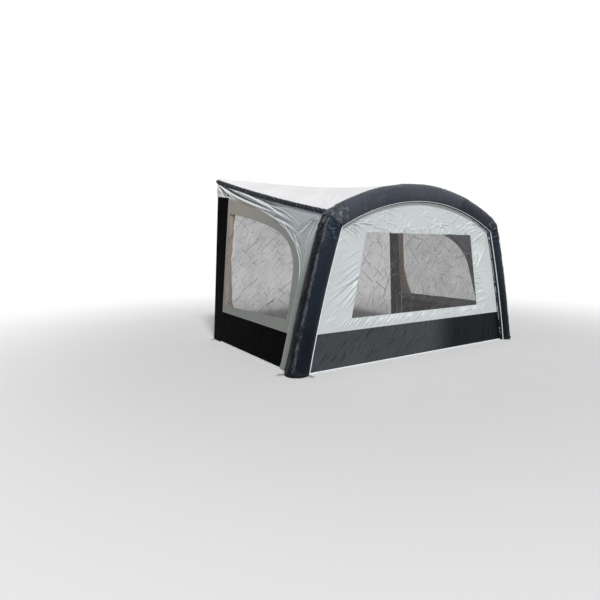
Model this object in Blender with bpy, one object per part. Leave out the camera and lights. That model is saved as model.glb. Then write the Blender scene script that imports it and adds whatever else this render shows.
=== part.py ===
"""Air awning: a bent inflated arch in front, a roof that rises to the rail, and two side walls with doors.

Metres. +X to the right, +Y to the rear, +Z up. The origin is on the ground under the middle.
"""
import math

import bmesh
import bpy
from mathutils import Matrix, Vector

# Main sizes
depth = 2.641                # pegging loops in front to the plane of the rail
rail_height = 2.455
rail_half_width = 1.779
base_half_width = 1.912      # side wall at the rear, on the ground
gap = 0.0003                 # between neighbours that touch
running_gap = 0.0006         # between neighbours that move past each other
cloth = 0.004                # thickness of one layer of canvas with its hem
film = 0.002                 # thickness of a window
ground_gap = 0.004           # canvas edges hang just clear of the ground

# Air arch, to the middle of its tube
tube_radius = 0.13
tube_sides = 16
sleeve_wall = 0.003
air_wall = 0.002
foot_half_span = 1.894
shoulder_half_span = 1.432
shoulder_height = 1.694
crown_height = 2.077
leg_bow = 0.028
bend_radius = 0.15
foot_height = 0.05
sole_height = 0.02
sole_inset = 0.012
leg_steps = 7
bend_steps = 4
crown_steps = 8

# Seams on the arch, as vertices of its cross-section counted from the outward normal to the rear
roof_seam_vertex = 1
panel_seam_vertex = 9
slider_vertex = 9.5
piping_vertex = 10
piping_radius = 0.007
piping_sides = 6

# Roof-edge tubes
brace_radius = 0.04
brace_sides = 12
brace_wall = 0.003
brace_sag = 0.032
brace_steps = 10
brace_seat = 0.0008
brace_end = 0.02
bead_diameter = 0.007
bead_sides = 8

# Side walls, in distance from the rear plane and height
wall_foot = 1.924            # half width of the wall where it meets the arch, on the ground
wall_lean_share = 0.272      # how far that edge leans in, against its height
flange_foot_width = 0.094
flange_top_width = 0.018
strip_width = 0.29
strip_drop = 0.265           # from the rail to the strip's upper end
strip_thickness = 0.022
strip_round = 0.005
leg_strip_width = 0.1038     # silver cloth between the door and the dark strip beside the leg
door_straight = 1.0
door_rear_drop = 0.054       # from the strip's upper end to the door's
door_slope_share = 0.215
door_front_handle = 0.55
door_rear_handle = 0.95
curve_steps = 12
door_band_front = 0.411
door_band_rear = 0.459
hem_height = 0.012
hem_thickness = 0.007
zip_width = 0.012
zip_proud = 0.001
zip_stop = 0.025             # from the draught strip, so that the door's corner can turn out
window_sill_margin = 0.066   # to the door's front edge
window_sill = 0.56
window_front_margin = 0.13
window_straight_rise = 0.06
window_rear_margin = 0.045   # to the draught strip
window_rear_drop = 0.216
window_front_handle = 0.56
window_front_lean = 0.07
window_rear_handle = 1.0
window_round = 0.05
round_steps = 3
wall_level = 0.27            # spacing of the lines that let the wall curve

# Curtain, gathered inside the rear end of each side window
curtain_rise = 0.06          # above the window's rear corner
curtain_bottom = 0.60
curtain_top_width = 0.10
curtain_bottom_width = 0.25
curtain_folds = 4
curtain_fold_depth = 0.028
curtain_stand = 0.008
curtain_cloth = 0.0025
curtain_rows = 5

# Front panel
front_band_height = 0.438
front_window_sill = 0.582
front_window_head = 1.579
front_window_sill_half = 1.167
front_window_head_half = 0.958
front_window_round = 0.025
hem_cord_radius = 0.006
hem_cord_sides = 8

# Pegging loops and corner straps
loop_length = 0.11
loop_width = 0.03
loop_webbing = 0.008
loop_thickness = 0.003
loop_steps = 6
rear_loop_reach = 0.10
strap_length = 0.17
strap_width = 0.028
strap_thickness = 0.002
strap_drop = 0.09

# Zip sliders
slider_width = 0.009
slider_height = 0.012
slider_thickness = 0.005
pull_width = 0.005
pull_length = 0.028
slider_start = 0.05
front_slider_start = 0.12
front_slider_travel = 0.5

# Inflation valve, on the inner rear face of the left leg
valve_side = 6               # side of the leg's cross-section that carries it
valve_step = 1               # step of the leg that carries it
valve_sides = 16
valve_flange_radius = 0.022
valve_flange = 0.003
valve_neck_radius = 0.014
valve_neck = 0.012
valve_bore_radius = 0.009
valve_bore_floor = 0.002
cap_radius = 0.018
cap_height = 0.014
cap_wall = 0.0025
cap_ribs_share = 0.93        # radius of the cap's grooves against that of its ribs
plunger_travel = 0.004
plunger_disc = 0.003
plunger_height = 0.008
plunger_stem_share = 0.45    # radius of the stem against that of the disc

# Places worked out from the sizes above
rear_y = depth / 2
loop_lean = 2 * math.pi / tube_sides
loop_centre = tube_radius + loop_length - loop_width / 2
arch_y = loop_centre * math.cos(loop_lean) + loop_width / 2 - rear_y
seam_y = arch_y + tube_radius + gap
wall_depth = rear_y - seam_y
strip_height = rail_height - strip_drop
door_reach = wall_depth - flange_foot_width - leg_strip_width
door_rear_height = strip_height - door_rear_drop
window_rear_height = door_rear_height - window_rear_drop
curtain_top = window_rear_height + curtain_rise
canvas_rear_y = rear_y - bead_diameter - gap
hinge_reach = strip_width + running_gap
window_rear_reach = strip_width + window_rear_margin
inner_radius = tube_radius - sleeve_wall
air_radius = inner_radius - gap
hem_axis_height = hem_cord_radius + gap


# Arcs of the arch, in the plane of the arch
def leg_circle():
    """Centre and radius of the right leg, an arc that bows outwards between foot and shoulder."""
    foot = Vector((foot_half_span, 0))
    shoulder = Vector((shoulder_half_span, shoulder_height))
    chord = shoulder - foot
    half = chord.length / 2
    radius = (half ** 2 + leg_bow ** 2) / (2 * leg_bow)
    outward = Vector((chord.y, -chord.x)).normalized()
    return (foot + shoulder) / 2 - outward * (radius - leg_bow), radius


def crown_circle():
    """Centre and radius of the arc from shoulder to shoulder."""
    rise = crown_height - shoulder_height
    radius = (shoulder_half_span ** 2 + rise ** 2) / (2 * rise)
    return Vector((0, crown_height - radius)), radius


def bend_circle():
    """Centre and radius of the bend that rounds the right shoulder, inside both arcs."""
    leg, leg_radius = leg_circle()
    crown, crown_radius = crown_circle()
    a = leg_radius - bend_radius
    b = crown_radius - bend_radius
    line = crown - leg
    along = (a ** 2 - b ** 2 + line.length_squared) / (2 * line.length)
    across = math.sqrt(a ** 2 - along ** 2)
    unit = line.normalized()
    sides = [leg + unit * along + Vector((-unit.y, unit.x)) * across * s for s in (1, -1)]
    shoulder = Vector((shoulder_half_span, shoulder_height))
    return min(sides, key=lambda centre: (centre - shoulder).length), bend_radius


def bearing(centre, other):
    direction = other - centre
    return math.atan2(direction.y, direction.x)


def arc_stations(circle, start, end, steps):
    """Points and outward normals along an arc, both ends included."""
    centre, radius = circle
    stations = []
    for i in range(steps + 1):
        angle = start + (end - start) * i / steps
        normal = Vector((math.cos(angle), math.sin(angle)))
        stations.append((centre + normal * radius, normal))
    return stations


def leg_bearing(height):
    centre, radius = leg_circle()
    return math.asin((height - centre.y) / radius)


def bend_bearings():
    centre = bend_circle()[0]
    return bearing(leg_circle()[0], centre), bearing(crown_circle()[0], centre)


def right_leg_stations():
    """From the top of the foot to the seam half-way round the shoulder."""
    low, high = bend_bearings()
    leg = arc_stations(leg_circle(), leg_bearing(foot_height), low, leg_steps)
    bend = arc_stations(bend_circle(), low, (low + high) / 2, bend_steps // 2)
    return leg + bend[1:]


def mirrored(stations):
    return [(Vector((-p.x, p.y)), Vector((-n.x, n.y))) for p, n in reversed(stations)]


def crown_stations():
    """From the right shoulder's seam over the crown to the left one."""
    low, high = bend_bearings()
    bend = arc_stations(bend_circle(), (low + high) / 2, high, bend_steps // 2)
    crown = arc_stations(crown_circle(), high, math.pi / 2, crown_steps)
    half = bend + crown[1:]
    return half + mirrored(half)[1:]


def arch_stations():
    leg = right_leg_stations()
    crown = crown_stations()
    return leg + crown[1:] + mirrored(leg)[1:]


def outside_arch(x, y, z):
    """Distance from a point near the right shoulder to the middle line of the arch's tube."""
    point = Vector((x, z))
    low, high = bend_bearings()
    centre, radius = bend_circle()
    angle = bearing(centre, point)
    if angle < low:
        centre, radius = leg_circle()
    elif angle > high:
        centre, radius = crown_circle()
    return math.hypot((point - centre).length - radius, y - arch_y)


def section_point(station, radius, vertex, sides=tube_sides):
    """A vertex of the tube's cross-section; vertex 0 faces outwards and the count runs to the rear."""
    point, normal = station
    angle = 2 * math.pi * vertex / sides
    out = radius * math.cos(angle)
    return Vector((point.x + normal.x * out, arch_y + radius * math.sin(angle), point.y + normal.y * out))


def section(station, radius, sides=tube_sides):
    return [section_point(station, radius, k, sides) for k in range(sides)]


def cut_level(ring, station, height):
    """The ring slid along the tube until all of it lies at one height."""
    normal = station[1]
    along = Vector((-normal.y, 0, normal.x))
    return [p + along * (height - p.z) / along.z for p in ring]


def slide_ring(ring, station, distance):
    normal = station[1]
    along = Vector((-normal.y, 0, normal.x))
    return [p + along * distance for p in ring]


# Mesh building
def new_material(name, colour, roughness, metallic=0.0, alpha=1.0):
    material = bpy.data.materials.new(name)
    material.use_nodes = True
    shader = material.node_tree.nodes["Principled BSDF"]
    shader.inputs["Base Color"].default_value = (*colour, 1)
    shader.inputs["Roughness"].default_value = roughness
    shader.inputs["Metallic"].default_value = metallic
    shader.inputs["Alpha"].default_value = alpha
    return material


def add_pivot(name, location):
    pivot = bpy.data.objects.new(name, None)
    pivot.location = location
    bpy.context.scene.collection.objects.link(pivot)
    return pivot


def add_part(name, bm, finish, pivot, smooth=30):
    """One closed solid, with its origin on its pivot."""
    bmesh.ops.recalc_face_normals(bm, faces=bm.faces)
    bmesh.ops.translate(bm, verts=bm.verts, vec=-pivot.location)
    mesh = bpy.data.meshes.new(name)
    bm.to_mesh(mesh)
    bm.free()
    mesh.shade_smooth()
    mesh.set_sharp_from_angle(angle=math.radians(smooth))
    mesh.materials.append(new_material(name, **finish))
    part = bpy.data.objects.new(name, mesh)
    part.parent = pivot
    bpy.context.scene.collection.objects.link(part)
    return part


def bridge(bm, ring_a, ring_b):
    count = len(ring_a)
    for i in range(count):
        j = (i + 1) % count
        bm.faces.new((ring_a[i], ring_a[j], ring_b[j], ring_b[i]))


def loft(rings, capped=True):
    """A solid through rings of points, closed at both ends."""
    bm = bmesh.new()
    rows = [[bm.verts.new(p) for p in ring] for ring in rings]
    for a, b in zip(rows, rows[1:]):
        bridge(bm, a, b)
    if capped:
        bm.faces.new(rows[0])
        bm.faces.new(rows[-1])
    else:
        bridge(bm, rows[-1], rows[0])
    return bm


def pipe(outer, inner):
    """A tube with a wall, open at both ends."""
    return loft(outer + list(reversed(inner)), capped=False)


def fill(loops, levels=(), cuts=()):
    """A flat face inside the first loop, with the others as holes, cut along level and upright lines."""
    bm = bmesh.new()
    edges = []
    for loop in loops:
        verts = [bm.verts.new((u, z, 0)) for u, z in loop]
        edges += [bm.edges.new((verts[i - 1], verts[i])) for i in range(len(verts))]
    bmesh.ops.triangle_fill(bm, use_beauty=True, use_dissolve=False, edges=edges, normal=(0, 0, 1))
    for height in levels:
        cut_flat(bm, (0, height, 0), (0, 1, 0))
    for reach in cuts:
        cut_flat(bm, (reach, 0, 0), (1, 0, 0))
    bmesh.ops.triangulate(bm, faces=bm.faces)
    return bm


def cut_flat(bm, point, normal):
    geometry = bm.verts[:] + bm.edges[:] + bm.faces[:]
    bmesh.ops.bisect_plane(bm, geom=geometry, dist=gap / 10, plane_co=point, plane_no=normal)


def thicken(flat, outer, inner):
    """The flat face laid on an outer and an inner surface, and closed round its edges."""
    bm = bmesh.new()
    front = {v: bm.verts.new(outer(v.co.x, v.co.y)) for v in flat.verts}
    back = {v: bm.verts.new(inner(v.co.x, v.co.y)) for v in flat.verts}
    for face in flat.faces:
        bm.faces.new([front[v] for v in face.verts])
        bm.faces.new([back[v] for v in reversed(face.verts)])
    for edge in flat.edges:
        if edge.is_boundary:
            a, b = edge.verts
            bm.faces.new((front[a], front[b], back[b], back[a]))
    flat.free()
    bmesh.ops.triangulate(bm, faces=bm.faces)
    return bm


# Curves in the plane of a wall or panel
def offset_curve(points, distance):
    """The open curve moved to its left by a distance, with its segments kept parallel."""
    moved = []
    for i, point in enumerate(points):
        before = (points[max(i, 1)] - points[max(i, 1) - 1]).normalized()
        after = (points[min(i + 1, len(points) - 1)] - points[min(i, len(points) - 2)]).normalized()
        left = Vector((-before.y - after.y, before.x + after.x)).normalized()
        moved.append(point + left * distance / left.dot(Vector((-before.y, before.x))))
    return moved


def offset_loop(points, distance):
    closed = [points[-1]] + points + [points[0]]
    return offset_curve(closed, distance)[1:-1]


def bezier(start, start_handle, end_handle, end, steps):
    points = []
    for i in range(steps + 1):
        t = i / steps
        s = 1 - t
        points.append(s ** 3 * start + 3 * s * s * t * start_handle + 3 * s * t * t * end_handle + t ** 3 * end)
    return points


def keep_beyond(points, reach):
    """The part of a curve that runs from far to near, down to a distance from the rear plane."""
    kept = []
    for a, b in zip(points, points[1:]):
        kept.append(a)
        if b.x <= reach:
            kept.append(a.lerp(b, (a.x - reach) / (a.x - b.x)))
            return kept
    return kept + [points[-1]]


def corner_arc(last, corner, following, radius):
    """The arc that replaces a corner of a loop."""
    before = (last - corner).normalized()
    after = (following - corner).normalized()
    half = before.angle(after) / 2
    reach = radius / math.tan(half)
    centre = corner + (before + after).normalized() * radius / math.sin(half)
    start = corner + before * reach - centre
    turn = start.angle_signed(corner + after * reach - centre)
    spins = [Matrix.Rotation(-turn * k / round_steps, 2) for k in range(round_steps + 1)]
    return [centre + spin @ start for spin in spins]


def rounded(points, radius):
    """A loop with each corner replaced by an arc."""
    result = []
    for i, corner in enumerate(points):
        result += corner_arc(points[i - 1], corner, points[(i + 1) % len(points)], radius)
    return result


# Finishes
navy = dict(colour=(0.017, 0.023, 0.042), roughness=0.55)
charcoal = dict(colour=(0.055, 0.060, 0.075), roughness=0.6)
black = dict(colour=(0.010, 0.010, 0.012), roughness=0.7)
silver = dict(colour=(0.57, 0.62, 0.63), roughness=0.6)
pale = dict(colour=(0.80, 0.80, 0.80), roughness=0.65)
mid_grey = dict(colour=(0.20, 0.22, 0.20), roughness=0.65)
white = dict(colour=(0.83, 0.83, 0.83), roughness=0.5)
beige = dict(colour=(0.45, 0.40, 0.37), roughness=0.8)
clear = dict(colour=(0.42, 0.42, 0.42), roughness=0.12, alpha=0.55)
air_film = dict(colour=(0.75, 0.77, 0.72), roughness=0.35)
grey_plastic = dict(colour=(0.12, 0.12, 0.13), roughness=0.4)
zinc = dict(colour=(0.45, 0.46, 0.48), roughness=0.35, metallic=0.9)


# Air arch
def sleeve(name, stations, finish, root, level_ends=()):
    """A cloth sleeve with its wall; its ends stop short of the next sleeve, or level on a foot."""
    shells = []
    for radius in (tube_radius, inner_radius):
        rings = [section(s, radius) for s in stations]
        for end, way in ((0, 1), (-1, -1)):
            if end in level_ends:
                rings[end] = cut_level(rings[end], stations[end], foot_height)
            else:
                rings[end] = slide_ring(rings[end], stations[end], way * gap / 2)
        shells.append(rings)
    return add_part(name, pipe(*shells), finish, root)


def add_arch(root):
    right = right_leg_stations()
    sleeve("right_leg_sleeve", right, navy, root, level_ends=(0,))
    sleeve("left_leg_sleeve", mirrored(right), navy, root, level_ends=(-1,))
    sleeve("arch_top_sleeve", crown_stations(), charcoal, root)
    stations = arch_stations()
    shells = []
    for radius in (air_radius, air_radius - air_wall):
        rings = [section(s, radius) for s in stations]
        rings[0] = cut_level(rings[0], stations[0], foot_height)
        rings[-1] = cut_level(rings[-1], stations[-1], foot_height)
        shells.append(rings)
    add_part("arch_air_tube", pipe(*shells), air_film, root)


def add_foot(side, root):
    """The boot under a leg: it carries on the sleeve's outline and turns in to a flat sole."""
    station = right_leg_stations()[0]
    ring = section(station, tube_radius)
    top = cut_level(ring, station, foot_height - gap)
    knuckle = cut_level(ring, station, sole_height)
    base = cut_level(section(station, tube_radius - sole_inset), station, 0)
    rings = [[Vector((side.sign * p.x, p.y, p.z)) for p in r] for r in (top, knuckle, base)]
    add_part(side.name + "_foot_boot", loft(rings), black, root)


def add_piping(root):
    """A cord along the arch's inner front edge, from boot to boot."""
    stations = arch_stations()
    ring_angle = 2 * math.pi / piping_sides
    rings = []
    for station in stations:
        seat = section_point(station, tube_radius + gap + piping_radius, piping_vertex)
        normal = Vector((station[1].x, 0, station[1].y))
        middle = section_point(station, 0, 0)
        out = (seat - middle).normalized()
        side = normal.cross(out).cross(out).normalized()
        rings.append([seat + (out * math.cos(k * ring_angle) + side * math.sin(k * ring_angle)) * piping_radius
                      for k in range(piping_sides)])
    rings[0] = cut_level(rings[0], stations[0], foot_height)
    rings[-1] = cut_level(rings[-1], stations[-1], foot_height)
    add_part("arch_piping", loft(rings), white, root)


# Side walls
class Side:
    """One side of the awning: the right one has sign 1, the left one -1."""

    def __init__(self, name, sign):
        self.name = name
        self.sign = sign

    def on_wall(self, inset):
        """Surface of the wall, moved in by a distance: from reach and height to a point."""
        def place(reach, height):
            return Vector((self.sign * (wall_x(reach, height) - inset), rear_y - reach, height))
        return place


def wall_x(reach, height):
    """Half width of the wall, straight between its leaning rear edge and its leaning front edge."""
    rear = base_half_width - (base_half_width - rail_half_width) * height / rail_height
    front = wall_foot - wall_lean_share * height
    return rear + (front - rear) * reach / wall_depth


def wall_levels(top):
    count = int(top / wall_level)
    return [top * i / (count + 1) for i in range(1, count + 1)]


def brace_reaches():
    """Distances of the roof-edge tube's rings from the rear plane."""
    start = rear_y - canvas_rear_y
    end = wall_depth + gap - brace_end
    return [start + (end - start) * i / brace_steps for i in range(brace_steps + 1)]


def roof_corner():
    """Front corner of the roof on the arch: reach, and height of the roof's underside."""
    reach = rear_y - section_point(crown_stations()[0], tube_radius + gap, roof_seam_vertex).y
    seam_out = (tube_radius + gap) * math.cos(2 * math.pi * roof_seam_vertex / tube_sides)
    centre, radius = bend_circle()
    height = centre.y
    for _ in range(curve_steps):
        across = wall_x(reach, height - brace_radius) - centre.x
        height = centre.y + math.sqrt((radius + seam_out) ** 2 - across ** 2)
    return reach, height


def brace_height(reach):
    """Height of the roof-edge tube's middle, sagging between the rail and the shoulder."""
    corner_reach, corner_height = roof_corner()
    start = rear_y - canvas_rear_y
    share = (reach - start) / (corner_reach - start)
    rear = rail_height - cloth - gap - brace_radius
    front = corner_height - gap - brace_radius
    return rear + (front - rear) * share - 4 * brace_sag * share * (1 - share)


def wall_top(reach):
    """The wall's upper edge, just under the roof-edge tube, straight between that tube's rings."""
    reaches = brace_reaches()
    for a, b in zip(reaches, reaches[1:]):
        if reach <= b or b == reaches[-1]:
            share = (reach - a) / (b - a)
            middle = brace_height(a) + (brace_height(b) - brace_height(a)) * share
            return middle - brace_radius - gap


def flange_reach(height):
    """Rear edge of the dark strip beside the leg, which narrows as it climbs."""
    share = height / shoulder_height
    return wall_depth - flange_foot_width - (flange_top_width - flange_foot_width) * share


def door_edge():
    """The door's edge from the ground in front, up and back to the rear strip."""
    start = Vector((door_reach, door_straight))
    end = Vector((hinge_reach, door_rear_height))
    start_handle = start + Vector((0, door_front_handle))
    end_handle = end + Vector((door_rear_handle, -door_rear_handle * door_slope_share))
    curve = bezier(start, start_handle, end_handle, end, curve_steps)
    tail = end + (end - end_handle) * strip_width / door_rear_handle
    return [Vector((door_reach, ground_gap))] + curve + [tail]


def window_loop():
    """The side window's outline, counter-clockwise from its front lower corner."""
    sill_front = Vector((door_reach - window_sill_margin, window_sill))
    start = Vector((door_reach - window_front_margin, door_straight + window_straight_rise))
    end = Vector((window_rear_reach, window_rear_height))
    start_handle = start + Vector((-window_front_lean, window_front_handle))
    end_handle = end + Vector((window_rear_handle, -window_rear_handle * door_slope_share))
    curve = bezier(start, start_handle, end_handle, end, curve_steps)
    sill_rear = Vector((window_rear_reach, window_sill))
    front_corner = corner_arc(sill_rear, sill_front, start, window_round)
    return front_corner + curve + corner_arc(end, sill_rear, sill_front, window_round)


def band_top(reach):
    share = (reach - hinge_reach) / (door_reach - hinge_reach)
    return door_band_rear + (door_band_front - door_band_rear) * share


def wall_sheet(side, name, loops, finish, pivot, thickness, proud=0.0, cuts=()):
    top = max(p.y for p in loops[0])
    flat = fill([[(p.x, p.y) for p in loop] for loop in loops], wall_levels(top), cuts)
    bm = thicken(flat, side.on_wall(-proud), side.on_wall(thickness - proud))
    return add_part(side.name + "_" + name, bm, finish, pivot)


def add_wall(side, root):
    """The silver cloth between door, leg and roof-edge tube."""
    flange = [Vector((flange_reach(h) - gap, h)) for h in (ground_gap, shoulder_height)]
    corner = flange[1].x
    flange[1].y = wall_top(corner)
    edge = [Vector((r, wall_top(r))) for r in reversed(brace_reaches()) if r < corner]
    rear = [Vector((0, edge[-1].y)), Vector((0, strip_height + gap))]
    zip_edge = keep_beyond(offset_curve(door_edge(), -zip_width - gap), strip_width + gap)
    strip_corner = Vector((strip_width + gap, strip_height + gap))
    loop = flange + edge + rear + [strip_corner] + list(reversed(zip_edge))
    wall_sheet(side, "wall", [loop], silver, root, cloth)


def add_flange(side, root):
    """The dark strip of sleeve cloth that joins the leg to the wall."""
    top = wall_top(wall_depth - gap)
    loop = [
        Vector((wall_depth, ground_gap)),
        Vector((wall_depth, top)),
        Vector((flange_reach(shoulder_height), wall_top(flange_reach(shoulder_height)))),
        Vector((flange_reach(ground_gap), ground_gap)),
    ]
    wall_sheet(side, "leg_flange", [loop], black, root, cloth)


def add_strip(side, root):
    """The foam-filled draught strip that presses against the rear plane, with rounded edges."""
    profile = []
    corners = [
        (0, strip_thickness, 0),
        (0, 0, 0),
        (strip_width, 0, strip_round),
        (strip_width, strip_thickness, strip_round),
    ]
    for reach, inset, radius in corners:
        if radius == 0:
            profile.append((reach, inset))
            continue
        turn = 1 if inset == 0 else -1
        for k in range(round_steps + 1):
            angle = math.pi / 2 * k / round_steps
            swing = angle if turn == 1 else math.pi / 2 - angle
            profile.append((reach - radius + radius * math.sin(swing),
                            inset + turn * (radius - radius * math.cos(swing))))
    rings = []
    for height in (0, strip_height / 2, strip_height):
        rings.append([side.on_wall(inset)(reach, height) for reach, inset in profile])
    add_part(side.name + "_draught_strip", loft(rings), black, root)


def add_zip(side, root):
    """The zip along the door's edge, a little proud of the cloth on both faces."""
    inner = keep_beyond(offset_curve(door_edge(), -running_gap), strip_width + zip_stop)
    outer = keep_beyond(offset_curve(door_edge(), -zip_width), strip_width + zip_stop)
    loop = outer + list(reversed(inner))
    wall_sheet(side, "door_zip", [loop], white, root, cloth + 2 * zip_proud, zip_proud)


# Doors
def add_door(side):
    """The grey door with its window, lower band and hem, hung on the edge of the draught strip."""
    hinge = add_pivot(side.name + "_door_hinge", side.on_wall(0)(hinge_reach, 0))
    edge = keep_beyond(door_edge(), hinge_reach)
    frame_foot = [Vector((r, band_top(r))) for r in (hinge_reach, door_reach)]
    frame = [frame_foot[1]] + edge[1:] + [frame_foot[0]]
    window = window_loop()
    wall_sheet(side, "door_frame", [frame, window], mid_grey, hinge, cloth,
               cuts=(window_rear_reach, door_reach / 2))
    pane = offset_loop(window, gap)
    wall_sheet(side, "door_window", [pane], clear, hinge, film, -film / 2, cuts=(door_reach / 2,))
    band = [
        Vector((hinge_reach, hem_height + gap)),
        Vector((hinge_reach, band_top(hinge_reach) - gap)),
        Vector((door_reach, band_top(door_reach) - gap)),
        Vector((door_reach, hem_height + gap)),
    ]
    wall_sheet(side, "door_band", [band], black, hinge, cloth)
    hem = [
        Vector((hinge_reach, ground_gap)),
        Vector((hinge_reach, hem_height)),
        Vector((door_reach, hem_height)),
        Vector((door_reach, ground_gap)),
    ]
    wall_sheet(side, "door_hem", [hem], silver, hinge, hem_thickness, (hem_thickness - cloth) / 2)
    add_curtain(side, hinge)


def add_curtain(side, hinge):
    """A gathered curtain that hangs inside the window's rear end in upright folds."""
    columns = curtain_folds * 4
    near = hinge_reach + running_gap
    faces = []
    for layer in (0, curtain_cloth):
        rows = []
        for r in range(curtain_rows + 1):
            share = r / curtain_rows
            height = curtain_top + (curtain_bottom - curtain_top) * share
            width = curtain_top_width + (curtain_bottom_width - curtain_top_width) * share
            row = []
            for c in range(columns + 1):
                across = c / columns
                wave = (1 - math.cos(2 * math.pi * curtain_folds * across)) / 2
                inset = cloth + running_gap + curtain_stand * across + curtain_fold_depth * wave + layer
                row.append(side.on_wall(inset)(near + width * across, height))
            rows.append(row)
        faces.append(rows)
    rings = [front + list(reversed(back)) for front, back in zip(*faces)]
    bm = bmesh.new()
    rows = [[bm.verts.new(p) for p in ring] for ring in rings]
    for a, b in zip(rows, rows[1:]):
        bridge(bm, a, b)
    for row in (rows[0], rows[-1]):
        for c in range(columns):
            bm.faces.new((row[c], row[c + 1], row[-2 - c], row[-1 - c]))
    add_part(side.name + "_curtain", bm, beige, hinge, smooth=60)


# Roof
def brace_middle(side, reach):
    height = brace_height(reach)
    return side.on_wall(0)(reach, height)


def brace_ring(side, reach, radius):
    middle = brace_middle(side, reach)
    ring = []
    for k in range(brace_sides):
        angle = 2 * math.pi * k / brace_sides
        ring.append(middle + Vector((math.cos(angle), 0, math.sin(angle))) * radius)
    return ring


def seat_on_arch(side, reach, radius):
    """The tube's front ring, each corner run forward until it lies on the arch."""
    ring = []
    limit = rear_y - section_point(crown_stations()[0], tube_radius, roof_seam_vertex).y - brace_end
    for k in range(brace_sides):
        near = reach
        far = limit
        for _ in range(curve_steps * 2):
            middle = (near + far) / 2
            point = brace_ring(side, middle, radius)[k]
            if outside_arch(abs(point.x), point.y, point.z) < tube_radius + brace_seat:
                far = middle
            else:
                near = middle
        ring.append(brace_ring(side, near, radius)[k])
    return ring


def add_brace(side, root):
    """The inflated tube along the roof's side edge, in its own sleeve."""
    reaches = brace_reaches()
    shells = []
    for radius in (brace_radius, brace_radius - brace_wall):
        rings = [brace_ring(side, r, radius) for r in reaches]
        rings.append(seat_on_arch(side, reaches[-1], radius))
        shells.append(rings)
    add_part(side.name + "_roof_sleeve", pipe(*shells), navy, root)
    outer = brace_radius - brace_wall - gap
    air = [[brace_ring(side, r, radius) for r in reaches] for radius in (outer, outer - air_wall)]
    add_part(side.name + "_roof_air_tube", pipe(*air), air_film, root)


def roof_front():
    """Front edge of the roof's underside along the arch: across and height, from right to left."""
    reach, height = roof_corner()
    corner = wall_x(reach, height - gap - brace_radius)
    seam_out = (tube_radius + gap) * math.cos(2 * math.pi * roof_seam_vertex / tube_sides)
    points = []
    for point, normal in crown_stations():
        seam = point + normal * seam_out
        if abs(seam.x) < corner - brace_radius / 2:
            points.append(seam)
    return [Vector((corner, height))] + points + [Vector((-corner, height))]


def add_roof(root):
    """One sheet from the straight rail to the arch, hollowed a little along its fall."""
    front = roof_front()
    corner_reach = roof_corner()[0]
    start = rear_y - canvas_rear_y
    rows = []
    reaches = brace_reaches() + [corner_reach]
    for reach in reaches:
        share = (reach - start) / (corner_reach - start)
        edge = wall_x(reach, brace_height(reach))
        sag = 4 * brace_sag * share * (1 - share)
        rear_height = rail_height - cloth
        row = []
        for point in front:
            height = rear_height + (point.y - rear_height) * share - sag
            row.append(Vector((edge * point.x / front[0].x, rear_y - reach, height)))
        rows.append(row)
    rings = [row + [p + Vector((0, 0, cloth)) for p in reversed(row)] for row in rows]
    bm = bmesh.new()
    verts = [[bm.verts.new(p) for p in ring] for ring in rings]
    for a, b in zip(verts, verts[1:]):
        bridge(bm, a, b)
    for ring in (verts[0], verts[-1]):
        for c in range(len(front) - 1):
            bm.faces.new((ring[c], ring[c + 1], ring[-2 - c], ring[-1 - c]))
    bmesh.ops.triangulate(bm, faces=bm.faces)
    add_part("roof_panel", bm, pale, root)


def add_rail_bead(root):
    """The bead along the roof's rear edge, which the rail holds."""
    radius = bead_diameter / 2
    rings = []
    for end in (-rail_half_width, rail_half_width):
        ring = []
        for k in range(bead_sides):
            angle = 2 * math.pi * (k + 0.5) / bead_sides
            middle = Vector((end, rear_y - radius, rail_height - radius))
            spread = radius / math.cos(math.pi / bead_sides)
            ring.append(middle + Vector((0, math.cos(angle), math.sin(angle))) * spread)
        rings.append(ring)
    add_part("rail_bead", loft(rings), pale, root)


def add_corner_strap(side, root):
    """A short webbing strap that hangs from the rear top corner."""
    top = rail_height - strap_drop
    loop = [Vector((r, h)) for r, h in (
        (0, top - strap_length), (strap_width, top - strap_length), (strap_width, top), (0, top))]
    flat = fill([[(p.x, p.y) for p in loop]])
    outer = side.on_wall(-running_gap - strap_thickness)
    bm = thicken(flat, outer, side.on_wall(-running_gap))
    add_part(side.name + "_corner_strap", bm, white, root)


# Front panel
def panel_edge():
    """Edge of the front opening, inside the seam on the arch, from right to left."""
    seam = (tube_radius + gap) * math.cos(2 * math.pi * panel_seam_vertex / tube_sides)
    return [point + normal * seam for point, normal in arch_stations()]


def edge_at(height):
    """Half width of the front panel at a height on the legs."""
    edge = panel_edge()
    for a, b in zip(edge, edge[1:]):
        if a.y <= height <= b.y:
            return a.lerp(b, (height - a.y) / (b.y - a.y)).x
    return edge[0].x + (edge[0].x - edge[1].x) * (edge[0].y - height) / (edge[1].y - edge[0].y)


def flat_panel(name, loops, finish, pivot, thickness, recess=0.0):
    seam_angle = 2 * math.pi * panel_seam_vertex / tube_sides
    back = arch_y + (tube_radius + gap) * math.sin(seam_angle) - recess
    flat = fill([[(p.x, p.y) for p in loop] for loop in loops])
    bm = thicken(flat, lambda x, z: (x, back - thickness, z), lambda x, z: (x, back, z))
    add_part(name, bm, finish, pivot)


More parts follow.
